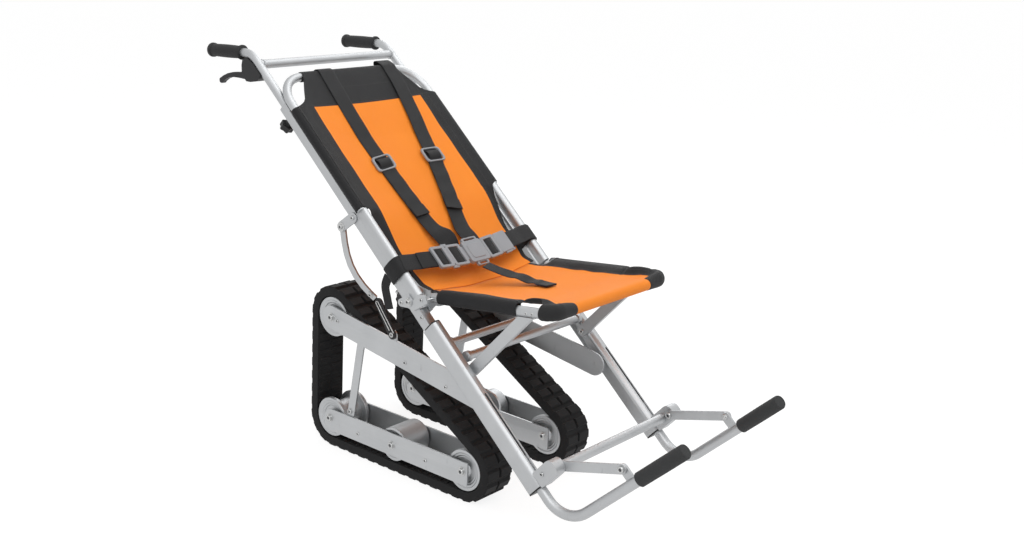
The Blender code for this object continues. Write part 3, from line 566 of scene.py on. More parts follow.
# %% Back hoop
TUBE_RADIUS = 0.011
HOOP_X, HOOP_V, HOOP_TOP = 0.2425, 0.0195, 0.665
LEG_TOP, LEG_FLAT, LEG_SLIM = 0.2475, 0.0057, 0.66
hoop = bmesh.new()
spots = ((-HOOP_X, LEG_TOP), (-HOOP_X, HOOP_TOP), (HOOP_X, HOOP_TOP), (HOOP_X, LEG_TOP))
tube(hoop, rounded_path([on_rail(x, s, HOOP_V) for x, s in spots], 0.080), TUBE_RADIUS)
section = [(0.2272, LEG_FLAT), (0.2491, LEG_FLAT)]
for i in range(17):
    around = math.pi * i / 16
    rise = TUBE_RADIUS * math.sin(around)
    section.append((0.2382 + TUBE_RADIUS * math.cos(around), HOOP_V + rise))
slim = [(HOOP_X + (x - HOOP_X) * LEG_SLIM, HOOP_V + (v - HOOP_V) * LEG_SLIM) for x, v in section]
for sign in SIDES.values():
    steps = ((-0.010, section), (0.2490, section), (0.2535, slim))
    skin(hoop, [[on_rail(sign * x, s, v) for x, v in ring] for s, ring in steps])
face_out(hoop)
piece("back_hoop_tube", hoop, satin_tube, "frame", ("back_hoop",))
print("hoop drawn,", round(HOOP_X * 2, 3), "m between its legs")

# %% [markdown]
# The push handle is two bent tubes joined by a crossbar. The crossbar is
# welded on, so a ring of small uneven beads stands round each of its ends. Two
# straight spreaders with a collar at both ends keep the rails apart.

# %% Push handle and spreaders
GRIP_TURN = math.radians(RAIL_SLOPE + 2.8)
HANDLE_BEND, HANDLE_V, CROSSBAR_S = 0.7762, -0.0075, 0.738
BEADS, BEAD_RING = 26, 0.0117


def on_grip(x, distance):
    """A point on a push grip's axis, measured from the handle's bend."""
    along, down = distance * math.cos(GRIP_TURN), distance * math.sin(GRIP_TURN)
    return on_rail(x, HANDLE_BEND + along, HANDLE_V - down)


handle = bmesh.new()
for sign in SIDES.values():
    x = sign * RAIL_X
    leg = [on_rail(x, 0.35, HANDLE_V), on_rail(x, HANDLE_BEND, HANDLE_V), on_grip(x, 0.152)]
    tube(handle, rounded_path(leg, 0.070), TUBE_RADIUS)
tube(handle, [on_rail(x, CROSSBAR_S, HANDLE_V) for x in (-RAIL_X, RAIL_X)], 0.0114)
for sign in SIDES.values():
    for i in range(BEADS):
        around = 2 * math.pi * i / BEADS
        reach = BEAD_RING + 0.0006 * math.sin(3 * i)
        x = 0.2238 + BEAD_RING * abs(math.cos(around)) * 0.15
        s, v = CROSSBAR_S + reach * math.cos(around), HANDLE_V + reach * math.sin(around)
        spot = Matrix.Translation(on_rail(sign * x, s, v))
        bmesh.ops.create_icosphere(handle, subdivisions=1, radius=0.0019, matrix=spot)
piece("push_handle_tube", handle, satin_tube, "push_handle", ("handle_frame",))

COLLAR = [(0.0, 0.0104), (0.0, 0.0124), (0.0008, 0.013)]
COLLAR += [(0.012 - along, radius) for along, radius in reversed(COLLAR)]
for name, s, v in (("upper", -0.136, -0.005), ("lower", -0.190, 0.018)):
    bar = bmesh.new()
    tube(bar, [on_rail(-0.2187, s, v), on_rail(0.2187, s, v)], 0.010)
    for sign in SIDES.values():
        turned(bar, on_rail(sign * 0.2167, s, v), -sign * ACROSS, COLLAR)
    replaced = ("cross_tube_" + name,)
    piece("spreader_" + name, bar, satin_tube, "frame", replaced)
print("handle and spreaders drawn")

# %% [markdown]
# The carrying frame at the foot is two bent tubes with foam grips. The legs
# lean a little inwards, as the photograph shows, and each carries a small ear
# for its folding link. Grips are lathe shapes along the tube's own axis.

# %% Carrying leg shapes
LEG_RISE, LEG_LEAN = math.radians(85), math.radians(5.5)
LEG_BEND, LEG_V = -0.640, 0.006
EAR_S, EAR_V = -0.620, 0.219


def on_leg(sign, v):
    """A point on a carrying leg's axis past its bend, by its distance off the rails."""
    far = (v - LEG_V) / (math.sin(LEG_RISE) * math.cos(LEG_LEAN))
    inward = far * math.sin(LEG_RISE) * math.sin(LEG_LEAN)
    return on_rail(sign * (RAIL_X - inward), LEG_BEND - far * math.cos(LEG_RISE), v)


def long_round(one, two, radius, steps=8):
    """An outline round two centres, such as a link or an ear."""
    tilt = math.atan2(two[1] - one[1], two[0] - one[0])
    outline = []
    for middle, start in ((one, tilt + math.pi / 2), (two, tilt - math.pi / 2)):
        for i in range(steps + 1):
            a = start + math.pi * i / steps
            outline.append((middle[0] + radius * math.cos(a), middle[1] + radius * math.sin(a)))
    return outline


print("the left carrying leg ends at", short(on_leg(1, 0.369)))

# %% Carrying legs and all four grips
RIBS = 34
ribbed = [(0.0, 0.0115), (0.0, 0.0178), (0.0012, 0.0189), (0.0052, 0.0189)]
ribbed += [(0.0066, 0.0165), (0.0082, 0.0155)]
for i in range(RIBS + 1):
    along = 0.010 + 0.100 * i / RIBS
    swell = 0.0156 + 0.0009 * math.sin(math.pi * i / RIBS)
    ribbed += [(along, swell), (along + 0.0009, swell + 0.00032), (along + 0.0018, swell + 0.00032)]
ribbed += [(0.1150, 0.0160), (0.1165, 0.0182), (0.1225, 0.0185)]
ribbed += [(0.1250, 0.0172), (0.1260, 0.0120), (0.1262, 0.0)]
for side, sign in SIDES.items():
    leg = bmesh.new()
    x = sign * RAIL_X
    corners = [on_rail(x, -0.46, LEG_V), on_rail(x, LEG_BEND, LEG_V), on_leg(sign, 0.369)]
    tube(leg, rounded_path(corners, 0.075), 0.0125)
    root = on_leg(sign, EAR_V) - RAIL_FOOT
    ear = long_round((root.dot(UP_RAIL), EAR_V), (EAR_S, EAR_V), 0.011)
    faces = sorted((root.x - sign * 0.007, root.x - sign * 0.0012))
    skin(leg, [[on_rail(x, *spot) for spot in ear] for x in faces])
    face_out(leg)
    replaced = ("foot_tube_" + side,)
    piece("carry_leg_" + side, leg, satin_tube, "foot_frame", replaced)

    grip = bmesh.new()
    start, end = on_leg(sign, 0.239), on_leg(sign, 0.376)
    long = (end - start).length
    profile = [(0.0, 0.0128), (0.0, 0.0160), (0.0012, 0.0171), (long * 0.5, 0.0174)]
    profile += [(long - 0.0042, 0.0172), (long - 0.0012, 0.0158), (long - 0.0006, 0.0132)]
    profile += [(long - 0.0012, 0.0126), (long - 0.0008, 0.0)]
    turned(grip, start, end - start, profile, 40)
    replaced = ("foot_grip_" + side,)
    piece("carry_grip_" + side, grip, foam, "foot_frame", replaced, 40)

    grip = bmesh.new()
    turned(grip, on_grip(x, 0.034), on_grip(0, 1) - on_grip(0, 0), ribbed, 40)
    replaced = ("hand_grip_" + side,)
    piece("push_grip_" + side, grip, grip_rubber, "push_handle", replaced, 50)
print("carrying frame and grips made")

# %% [markdown]
# Each track is a moulded rubber belt round three wheels. Its carcass is a flat
# band with a raised lip on both edges, carried round the loop. The lugs are
# blocks set on it at an even pitch and split by a groove down the middle, and
# low drive ribs line the inside. The wheels are pressed discs with a rolled
# rim and a stepped dish, in pairs on one hub, and the middle one is a closed
# drum, so they are turned on the lathe.

# %% Belt loop and lugs
HUBS = {"front": (0.008, 0.080), "rear": (0.472, 0.080), "top": (0.470, 0.356)}
CORNER_HUBS = list(HUBS.values())
HUBS["mid"] = (0.245, 0.0735)
BELT_IN, BELT_OUT, BELT_LIP = 0.0546, 0.0745, 0.0764


def loop_points(radius, arc_steps=20, run_steps=24):
    """Points round the three corner wheels in side view, with their outward normals."""
    points = []
    for i, hub in enumerate(CORNER_HUBS):
        before, after = CORNER_HUBS[i - 1], CORNER_HUBS[(i + 1) % 3]
        start = math.atan2(hub[1] - before[1], hub[0] - before[0]) - math.pi / 2
        end = math.atan2(after[1] - hub[1], after[0] - hub[0]) - math.pi / 2
        end += 2 * math.pi if end < start else 0
        for k in range(arc_steps + 1):
            a = start + (end - start) * k / arc_steps
            out = (math.cos(a), math.sin(a))
            points.append((hub[0] + radius * out[0], hub[1] + radius * out[1], *out))
        y, z, *out = points[-1]
        for k in range(1, run_steps):
            share = k / run_steps
            run = ((after[0] - hub[0]) * share, (after[1] - hub[1]) * share)
            points.append((y + run[0], z + run[1], *out))
    return points


def spaced(points, count):
    """The same loop at an even pitch, and that pitch."""
    closed = points + points[:1]
    steps = [math.dist(one[:2], two[:2]) for one, two in zip(closed, closed[1:])]
    total = sum(steps)
    found = []
    k, walked = 0, 0.0
    for i in range(count):
        target = total * (i / count)
        while walked + steps[k] < target:
            walked += steps[k]
            k += 1
        share = (target - walked) / steps[k]
        found.append([a + (b - a) * share for a, b in zip(closed[k], closed[k + 1])])
    return found, total / count


def lug(mesh, spot, low, high, length, rise):
    """One rubber block, narrower at its top, with softened edges and a sunk foot."""
    y, z, out_y, out_z = spot
    size = math.hypot(out_y, out_z)
    out = Vector((0, out_y / size, out_z / size))
    way = Vector((0, -out.z, out.y))
    base = on_track(0, y, z) - out * 0.0015
    half = length / 2
    levels = ((0, 0, 0), (rise - 0.0005, 0.0026, 0.0008), (rise + 0.0015, 0.0042, 0.0022))
    rings = []
    for up, slope, inset in levels:
        a, b, run = low + inset, high - inset, half - slope
        ends = ((a, -run), (b, -run), (b, run), (a, run))
        rings.append([base + ACROSS * x + way * along + out * up for x, along in ends])
    skin(mesh, rings)


print("belt loop is", round(spaced(loop_points(BELT_OUT), 48)[1] * 48, 3), "m round")

# %% Tracks and wheels
LUGS, INNER_RIBS = 48, 72
for side, sign in SIDES.items():
    belt = bmesh.new()
    rings = []
    for near, far, high in zip(*[loop_points(r) for r in (BELT_IN, BELT_OUT, BELT_LIP)]):
        section = [(0.1105, near), (0.1995, near), (0.2, far), (0.1994, high), (0.1972, high)]
        section += [(0.1962, far), (0.1138, far), (0.1128, high), (0.1106, high), (0.110, far)]
        rings.append([on_track(sign * x, spot[0], spot[1]) for x, spot in section])
    skin(belt, rings + rings[:1], False)
    weld(belt)
    spots, pitch = spaced(loop_points(BELT_OUT), LUGS)
    for spot in spots:
        for ends in ((0.1102, 0.1530), (0.1570, 0.1998)):
            lug(belt, spot, *sorted(sign * x for x in ends), pitch * 0.76, 0.0053)
    for y, z, out_y, out_z in spaced(loop_points(BELT_IN), INNER_RIBS)[0]:
        inwards = (y, z, -out_y, -out_z)
        for ends in ((0.1150, 0.1535), (0.1565, 0.1950)):
            lug(belt, inwards, *sorted(sign * x for x in ends), 0.0150, 0.0022)
    face_out(belt)
    replaced = ("track_belt_" + side,)
    body = "track_" + side
    piece("rubber_track_" + side, belt, track_rubber, body, replaced, 28)

    for name, hub in HUBS.items():
        rim = 0.044 if name == "mid" else 0.052
        wheel = bmesh.new()
        half = [(0.0, 0.0063), (0.0, 0.0160), (0.0012, 0.0172), (0.0055, 0.0195)]
        half += [(0.0060, 0.0215), (0.0060, rim - 0.0225), (0.0042, rim - 0.0205)]
        half += [(0.0042, rim - 0.0165), (0.0022, rim - 0.0140), (0.0018, rim - 0.0095)]
        half += [(0.0002, rim - 0.0070), (0.0, rim - 0.0022), (0.0006, rim - 0.0006)]
        half += [(0.0018, rim), (0.0105, rim)]
        half += [] if name == "mid" else [(0.0115, rim - 0.0008), (0.0130, rim - 0.0160)]
        profile = [(0.1120 + depth, r) for depth, r in half]
        profile += [(0.1985 - depth, r) for depth, r in reversed(half)]
        turned(wheel, on_track(0, *hub), sign * ACROSS, profile, 56)
        face_out(wheel)
        node = f"wheel_{name}_{side}"
        piece(node + "_disc", wheel, satin_tube, node, (node,), 24)
print("track pitch", round(pitch, 4), "m")

# %% [markdown]
# The sling is coated nylon: an orange panel with black bands sewn round it.
# Every cloth point stores where it lies on the flat cut (its lay: across,
# along, and the distance to the cut edge), so the colours, the plain weave and
# the rows of stitches are sums on those lengths, and they follow the cloth
# wherever it bends. A light sheen gives the soft edge that nylon has.

# %% Cloth finish
STITCH = 0.005
WEAVE = 9200.0
BINDING = 0.016
SHARP = 0.0004


def stitches(line, along):
    """A row of thread dashes where line is zero."""
    dash = (along / STITCH).fraction().ramp(0.12, 0.2)
    dash = dash * (1 - (along / STITCH).fraction().ramp(0.8, 0.88))
    return (1 - abs(line).ramp(0.0003, 0.0007)) * dash


def nylon(name, orange_half, orange_top, seams_across, seams_along):
    made = Finish(name)
    across, along, edge = made.lay()
    inside = abs(across).ramp(orange_half + SHARP, orange_half - SHARP)
    inside = inside * edge.ramp(BINDING - SHARP, BINDING + SHARP)
    orange = inside * (1 - along.ramp(orange_top - SHARP, orange_top + SHARP))
    weave = (across * WEAVE).sine() * (along * WEAVE).sine()
    cloud = made.noise(9, 4)
    crease = made.noise(26, 3, stretch=(1, 0.35, 0.35))
    tone = cloud * 0.6 + weave * 0.10 + 0.1
    flame = made.blend(tone, (0.92, 0.235, 0.016), (1.0, 0.310, 0.027))
    tone = cloud * 0.6 + weave * 0.15 + 0.15
    coal = made.blend(tone, (0.007, 0.007, 0.008), (0.016, 0.016, 0.017))
    thread = stitches(edge - 0.0045, along + across * 0.6)
    for seam in seams_across:
        thread = thread.larger(stitches(abs(across) - seam, along))
    for seam in seams_along:
        thread = thread.larger(stitches(along - seam, across))
    dyed = made.blend(orange, coal, flame)
    made.set(Base_Color=made.blend(thread * 0.7, dyed, (0.040, 0.039, 0.039)))
    made.set(Roughness=0.62 + cloud * 0.14)
    made.set(Sheen_Weight=0.04, Sheen_Roughness=0.45, Specular=0.28)
    made.relief(weave * 0.12 + crease * 1.4 + thread * 0.5 + (1 - orange) * 0.35, 0.0007)
    return made


NO_TOP = 9.0
back_nylon = nylon("back_sling_nylon", 0.1905, 0.5615, (0.1955, 0.2160), (0.5660, 0.6150))
seat_nylon = nylon("seat_sling_nylon", 0.1740, NO_TOP, (0.1780, 0.1870), (0.0200,))
print("nylon finishes made")

# %% [markdown]
# A cloth is a grid of points, each with its place in the air and its place on
# the flat cut. Both slings are built row by row from the same few helpers:
# a table of half-widths for the cut, eased steps and bell curves for the sag
# and the puckers, and Solidify for the thickness.

# %% Cloth helpers
COLUMNS = [i / 24 for i in range(-24, 25)]
CLOTH_THICK = 0.0014


def clamped(share):
    return min(1.0, max(0.0, share))


def eased(share):
    share = clamped(share)
    return share * share * (3 - 2 * share)


def bell(distance, width):
    return math.exp(-((distance / width) ** 2))


def from_table(table, value):
    for (one, first), (two, second) in zip(table, table[1:]):
        if value <= two:
            share = max(0.0, (value - one) / (two - one))
            return first + (second - first) * share
    return table[-1][1]


def lay_of(mesh):
    """The layer that keeps each point's place on the flat cut."""
    layers = mesh.verts.layers.float_vector
    return layers.get("lay") or layers.new("lay")


def cloth_row(half, place, flat):
    """One row across the cloth: the place and the flat place of each point, by its x."""
    return [(place(c * half), flat(c * half)) for c in COLUMNS]


def cloth_grid(mesh, rows):
    """Faces over rows of (point, lay) pairs; rows all have the same count."""
    lay = lay_of(mesh)
    made = []
    for row in rows:
        made.append([])
        for point, flat in row:
            corner = mesh.verts.new(point)
            corner[lay] = Vector(flat)
            made[-1].append(corner)
    for one, two in zip(made, made[1:]):
        for k in range(len(one) - 1):
            mesh.faces.new((one[k], one[k + 1], two[k + 1], two[k]))


def thicken(cloth):
    body = cloth.modifiers.new("cloth_thickness", "SOLIDIFY")
    body.thickness = CLOTH_THICK
    body.offset = 0.0
    soften = cloth.modifiers.new("soft_edge", "SUBSURF")
    soften.levels = 1
    soften.render_levels = 1


print("cloth helpers ready,", len(COLUMNS), "points in a row")

# %% [markdown]
# The back is one sheet, stretched between the legs of the hoop. It could be
# dropped on with a cloth simulation, but a tight sling hardly folds, so its
# sag is written as a formula: deepest in the middle, nothing at the sleeves.
# Below the sleeves the cloth hangs free, so it lies deeper there, and its lower
# hem ends on the seat. For that the seat's own height has to be known first.

# %% How the slings sag
SLEEVE_LOW, SLEEVE_HIGH = 0.250, 0.566
BACK_CUT = [(-0.002, 0.1990), (0.03, 0.2010), (0.07, 0.2085), (0.10, 0.2140), (0.14, 0.2190)]
BACK_CUT += [(0.18, 0.2228), (0.215, 0.2250), (0.243, 0.2262), (0.2465, 0.2330)]
BACK_CUT += [(SLEEVE_LOW, HOOP_X), (SLEEVE_HIGH, HOOP_X), (0.568, 0.2370), (0.572, 0.2270)]
BACK_CUT += [(0.579, 0.2140), (0.588, 0.2045), (0.601, 0.1970), (0.620, 0.1865)]
BACK_CUT += [(0.640, 0.1745), (0.664, 0.1640)]


def sleeve_swell(t):
    """How full the seat's side sleeve is: slim at its two ends, padded between them."""
    return math.sqrt(min(1.0, max(0.0, (t - 0.0645) / 0.009), abs(0.3075 - t) / 0.007))


def seat_height(x, t):
    """The seat cloth's height over the plane of its tubes."""
    slack = clamped((0.395 - t) / 0.12)
    flat = 1 - min(1.0, abs(x) / SEAT_X) ** 2
    seam = 0.0011 * math.sin(t * 74 + 1.2 * math.sin(t * 31)) * bell(abs(x) - 0.176, 0.013)
    lap = 0.0016 * math.sin(x * 46 + 1.0) * bell(t - 0.05, 0.05)
    begun = clamped((t - 0.05) / 0.04) * clamped((0.392 - t) / 0.02)
    crest = bell(min(t, 0.338) - 0.338, 0.027) * eased((SEAT_FRONT - t) / 0.020)
    pucker = 0.0030 + 0.0014 * math.sin(t * 39 + 0.6) + 0.0085 * crest
    hem = begun * pucker * bell(abs(x) - 0.1935, 0.0085)
    sleeve = 0.009 * sleeve_swell(t) * eased((abs(x) - 0.166) / 0.040)
    return 0.0130 - 0.020 * slack * flat + seam + lap + hem + sleeve


def back_height(x, s):
    """The back cloth's height over the rails where it is held by its sleeves."""
    slack = clamped((0.658 - s) / 0.2)
    flat = 1 - (x / HOOP_X) ** 2
    hem = 0.0007 * math.sin(s * 61 + x * 9) * bell(abs(x) - 0.2, 0.02)
    hip = 0.0012 * math.sin(x * 70) * max(0.0, 0.12 - s) / 0.12
    return 0.0316 - 0.021 * slack * flat + hem + hip


def hem_point(x):
    """Where the lower hem of the back meets the seat cloth, along and off the rails."""
    spot = on_seat(x, 0.016, seat_height(x, 0.016) + 0.0018) - RAIL_FOOT
    return spot.dot(UP_RAIL), spot.dot(OUT_OF_RAIL)


def free_height(x, s):
    """The same below the sleeves, where the cloth hangs free and ends on the seat."""
    deeper = eased((0.240 - s) / 0.12) * (0.009 + 0.012 * (x / 0.2) ** 2)
    edge = eased((0.246 - s) / 0.035) * eased((s - 0.03) / 0.09)
    deeper += 0.012 * edge * eased((abs(x) - 0.185) / 0.038)
    landing = eased((0.030 - s) / 0.036)
    return (back_height(x, s) - deeper) * (1 - landing) + hem_point(x)[1] * landing


print("the back's hem lands at s, v", short(hem_point(0)))

# %% [markdown]
# The cut-outs at shoulder and hip come from the table of half-widths. At the
# top the sheet goes round the bar and its flap is sewn down behind, and each
# side is a sleeve round a leg of the hoop, closed by a strip at the back.

# %% Back sling
WRAP = 0.0125
BAND_HALF, FLAP_HALF = 0.164, 0.166
back = bmesh.new()
half = from_table(BACK_CUT, 0)
rows = [
    cloth_row(
        half,
        lambda x: on_rail(x, *hem_point(x)),
        lambda x: (x, hem_point(x)[0], half - abs(x)),
    )
]
stations = [0.004 + 0.0066 * i for i in range(37)] + [0.2450, 0.2478]
stations += [SLEEVE_LOW + 0.316 * i / 40 for i in range(41)]
stations += [0.568, 0.570, 0.572, 0.575, 0.579, 0.583, 0.588, 0.594, 0.601, 0.609]
stations += [0.620, 0.632, 0.644, 0.656, 0.664]
stations = sorted(set(round(s, 5) for s in stations))
for s in stations:
    half = from_table(BACK_CUT, s)
    rows.append(
        cloth_row(
            half, lambda x: on_rail(x, s, free_height(x, s)), lambda x: (x, s, half - abs(x))
        )
    )
for i in range(1, 19):
    around = math.radians(255) * i / 18
    s, v = HOOP_TOP + WRAP * math.sin(around), HOOP_V + WRAP * math.cos(around)
    run = 0.664 + WRAP * around
    rows.append(
        cloth_row(BAND_HALF, lambda x: on_rail(x, s, v), lambda x: (x, run, BAND_HALF - abs(x)))
    )
for s in (0.648, 0.632, 0.615):
    rows.append(
        cloth_row(
            FLAP_HALF,
            lambda x: on_rail(x, s, back_height(x, s) - 0.0026),
            lambda x: (x, 1.37 - s, 0.05),
        )
    )
cloth_grid(back, rows)
sleeve_stations = [s for s in stations if SLEEVE_LOW - 0.0001 <= s <= SLEEVE_HIGH + 0.0001]
for sign in SIDES.values():
    rows = []
    for s in sleeve_stations:
        row = []
        for i in range(17):
            around = math.radians(90 - 225 * i / 16)
            x = sign * (HOOP_X + WRAP * math.cos(around))
            flat_x = sign * (HOOP_X + WRAP * 3.9 * i / 16)
            row.append((on_rail(x, s, HOOP_V + 0.0121 * math.sin(around)), (flat_x, s, 0.006)))
        row.append((on_rail(sign * 0.2215, s, 0.0165), (sign * 0.300, s, 0.006)))
        inner = back_height(0.211, s) - 0.0026
        row.append((on_rail(sign * 0.2110, s, inner), (sign * 0.312, s, 0.006)))
        rows.append(row)
    cloth_grid(back, rows)
weld(back, 0.0002)
replaced = ("back_sling",)
back_cloth = piece("back_sling_cloth", back, back_nylon, "frame", replaced, 180)
thicken(back_cloth)

# %% [markdown]
# The seat is made the same way round its own U-shaped tube. Its sides are black
# sleeves with an open window where the folding strut reaches the tube, the
# orange runs over the front bar, and black caps cover the front corners.

# %% Seat sling
SEAT_CUT = [(0.006, 0.186), (0.046, 0.1865), (0.054, 0.189), (0.060, 0.196), (0.0662, SEAT_X)]
SEAT_CUT += [(0.306, SEAT_X), (0.310, 0.2050), (0.317, 0.1995), (0.356, 0.1985)]
SEAT_CUT += [(0.364, 0.2030), (0.370, 0.2140), (0.376, SEAT_X), (0.388, 0.2110)]
SEAT_CUT += [(0.397, 0.2020), (0.401, 0.1885), (SEAT_FRONT, 0.1750)]
FRONT_HALF, SEAT_FLAP_HALF = 0.175, 0.172
FRONT_WRAP, SIDE_WRAP = 0.0134, 0.0136

seat = bmesh.new()
stations = [0.006 + 0.0075 * i for i in range(8)] + [0.0628]
stations += [0.0662 + 0.2318 * i / 33 for i in range(34)]
stations += [0.302, 0.306, 0.308, 0.310, 0.3135, 0.317, 0.323, 0.330, 0.338, 0.346, 0.352]
stations += [0.356, 0.360, 0.364, 0.367, 0.370, 0.376, 0.382, 0.388, 0.393, 0.397, 0.4, SEAT_FRONT]
rows = []
for t in stations:
    half = from_table(SEAT_CUT, t)
    rows.append(
        cloth_row(
            half,
            lambda x: on_seat(x, t, seat_height(x, t)),
            lambda x: (x, t, half - abs(x) + 0.004),
        )
    )
for i in range(1, 19):
    around = math.radians(262) * i / 18
    t, w = SEAT_FRONT + FRONT_WRAP * math.sin(around), 0.0132 * math.cos(around)
    run = SEAT_FRONT + FRONT_WRAP * around
    rows.append(cloth_row(FRONT_HALF, lambda x: on_seat(x, t, w), lambda x: (x, run, 0.05)))
for t in (0.384, 0.372):
    rows.append(
        cloth_row(
            SEAT_FLAP_HALF,
            lambda x: on_seat(x, t, seat_height(x, t) - 0.0030),
            lambda x: (x, 0.85 - t, 0.05),
        )
    )
cloth_grid(seat, rows)
print("seat sheet has", len(rows), "rows")


# %% Seat sleeves and corner caps
def seat_sleeve(sign, first, last, turns, closed):
    """The black sleeve round a side tube between two stations."""
    rows = []
    for t in [t for t in stations if first <= t <= last]:
        row = []
        full = sleeve_swell(t)
        for i in range(turns):
            around = math.radians(90 - 250 * i / 16)
            lift = 0.0045 * full + (0.0130 + 0.0045 * full) * math.sin(around)
            reach = (SIDE_WRAP + 0.0014 * full) * math.cos(around)
            flat_x = sign * (SEAT_X + SIDE_WRAP * 4.36 * i / 16)
            row.append((on_seat(sign * (SEAT_X + reach), t, lift), (flat_x, t, 0.006)))
        if closed:
            inner = seat_height(0.194, t) - 0.0030
            row.append((on_seat(sign * 0.1940, t, inner), (sign * 0.285, t, 0.006)))
        rows.append(row)
    cloth_grid(seat, rows)


def corner_cap(sign):
    """The black cap round a front corner, flat at both its ends."""
    spots = ((SEAT_X, 0.370), (SEAT_X, SEAT_FRONT), (0.130, SEAT_FRONT))
    bend = rounded_path([on_seat(sign * x, t, 0) for x, t in spots], 0.026, 12)
    lead = [bend[0].lerp(bend[1], i / 4) for i in range(4)]
    tail = [bend[-2].lerp(bend[-1], i / 5) for i in range(5)]
    bend = lead + bend[1:-1] + tail
    rows = []
    for i, spot in enumerate(bend):
        out = heading(bend, i).cross(SEAT_UP) * sign
        full = min(1.0, (i + 0.4) / 3, (len(bend) - 0.9 - i) / 4)
        row = []
        for k in range(25):
            around = 2 * math.pi * k / 24
            puff = 0.0138 + 0.0012 * full + 0.0003 * math.sin(i * 1.7 + around)
            lift = SEAT_UP * (0.0036 * full + (puff + 0.0034 * full) * math.cos(around))
            flat = (0.24 + 0.0142 * around, 0.01 * i, 0.004)
            row.append((spot + out * math.sin(around) * puff + lift, flat))
        rows.append(row)
    cloth_grid(seat, rows)


for sign in SIDES.values():
    seat_sleeve(sign, 0.0661, 0.2981, 17, True)
    seat_sleeve(sign, 0.2979, 0.3061, 10, False)
    corner_cap(sign)
weld(seat, 0.0002)
replaced = ("seat_sling",)
seat_cloth = piece("seat_sling_cloth", seat, seat_nylon, "seat", replaced, 180)
thicken(seat_cloth)

# %% [markdown]
# Harness webbing is woven flat, most of it 45 to 50 mm wide and about 2 mm
# thick, and a strap keeps its section wherever it runs. Each one is a thin
# rounded section carried along a path. The finish is a herringbone: ribs along
# the strap whose phase steps from one band of threads to the next.

# %% Webbing finish
FULL_TURN = 6.2832
webbing = Finish("black_harness_webbing")
along, across = webbing.lay()[:2]
band = abs((across / 0.0062).fraction() - 0.5) * 2.0
rib = ((along / 0.0021 + band) * FULL_TURN).sine()
selvedge = abs(across).ramp(0.0205, 0.0222)
worn = webbing.noise(40, 4)
tone = rib * 0.16 + worn * 0.55 + selvedge * 0.1
webbing.set(Base_Color=webbing.blend(tone, (0.006, 0.006, 0.007), (0.018, 0.018, 0.019)))
webbing.set(Roughness=0.60 + worn * 0.18, Sheen_Weight=0.03, Sheen_Roughness=0.5, Specular=0.3)
webbing.relief(rib * 0.5 + band * 0.3 + worn * 0.4, 0.00022)
print("webbing finish has", len(webbing.tree.nodes), "nodes")

# %% Straps along a path
WEB_THICK = 0.0022


def strap(mesh, path, wides, width, thick=WEB_THICK):
    """Webbing along path; wides gives the direction of its width, once or at each point."""
    lay = lay_of(mesh)
    outline = [(0.5, 0.18), (0.485, 0.42), (0.44, 0.5), (0.22, 0.5), (0.0, 0.5)]
    outline += [(-a, b) for a, b in outline[-2::-1]]
    outline += [(a, -b) for a, b in reversed(outline)]
    rings, lengths = [], []
    walked = 0.0
    for i, point in enumerate(path):
        way = heading(path, i)
        wide = wides[i] if isinstance(wides, list) else wides
        wide = (wide - way * wide.dot(way)).normalized()
        up = wide.cross(way)
        walked += (point - path[i - 1]).length if i else 0.0
        rings.append([point + wide * (a * width) + up * (b * thick) for a, b in outline])
        lengths.append(walked)
    for loop, walked in zip(skin(mesh, rings), lengths):
        for corner, (a, b) in zip(loop, outline):
            corner[lay] = Vector((walked, a * width, b))
    face_out(mesh)


def smooth_path(points, each=7):
    """A rounded run through a few given points."""
    run = []
    for i in range(len(points) - 1):
        p0, p1 = points[max(i - 1, 0)], points[i]
        p2, p3 = points[i + 1], points[min(i + 2, len(points) - 1)]
        square = 2 * p0 - 5 * p1 + 4 * p2 - p3
        cube = 3 * p1 - p0 - 3 * p2 + p3
        for k in range(each):
            t = k / each
            run.append(0.5 * (2 * p1 + (p2 - p0) * t + square * t * t + cube * t**3))
    return run + [points[-1]]


def web_piece(name, mesh, stands_for=()):
    piece(name, mesh, webbing, "frame", stands_for, 60)


print("webbing is ready")

# %% [markdown]
# The two shoulder straps start behind the top bar, come over it and run down
# the back. Each passes a slide adjuster at chest height, and the doubled end
# that comes out of it lies on top as far as the waist. The near strap has
# taken a slight twist just above the buckle. Each row of the table is one strap:
# where it starts and ends across the chair, how sharply it turns inwards, how
# slack it lies over the bar, its twist, and the lean of its end and adjuster.

# %% Shoulder strap shapes
ADJUSTER_S = 0.371
BAR_ROUND = 0.0152


def strap_x(run, s):
    top, low, power = run
    return top + (low - top) * clamped((0.635 - s) / 0.5) ** power


def strap_height(x, s):
    return back_height(abs(x) + 0.025, s) + 0.0026


def rounded_outline(low, high, corner, steps=5):
    """A rectangle with round corners, counter-clockwise."""
    (left, bottom), (right, top) = low, high
    outline = []
    corners = ((right, top), (left, top), (left, bottom), (right, bottom))
    for i, (x, y) in enumerate(corners):
        cx = x - math.copysign(corner, x - (left + right) / 2)
        cy = y - math.copysign(corner, y - (bottom + top) / 2)
        for k in range(steps + 1):
            a = math.radians(90 * i + 90 * k / steps)
            outline.append((cx + corner * math.cos(a), cy + corner * math.sin(a)))
    return outline


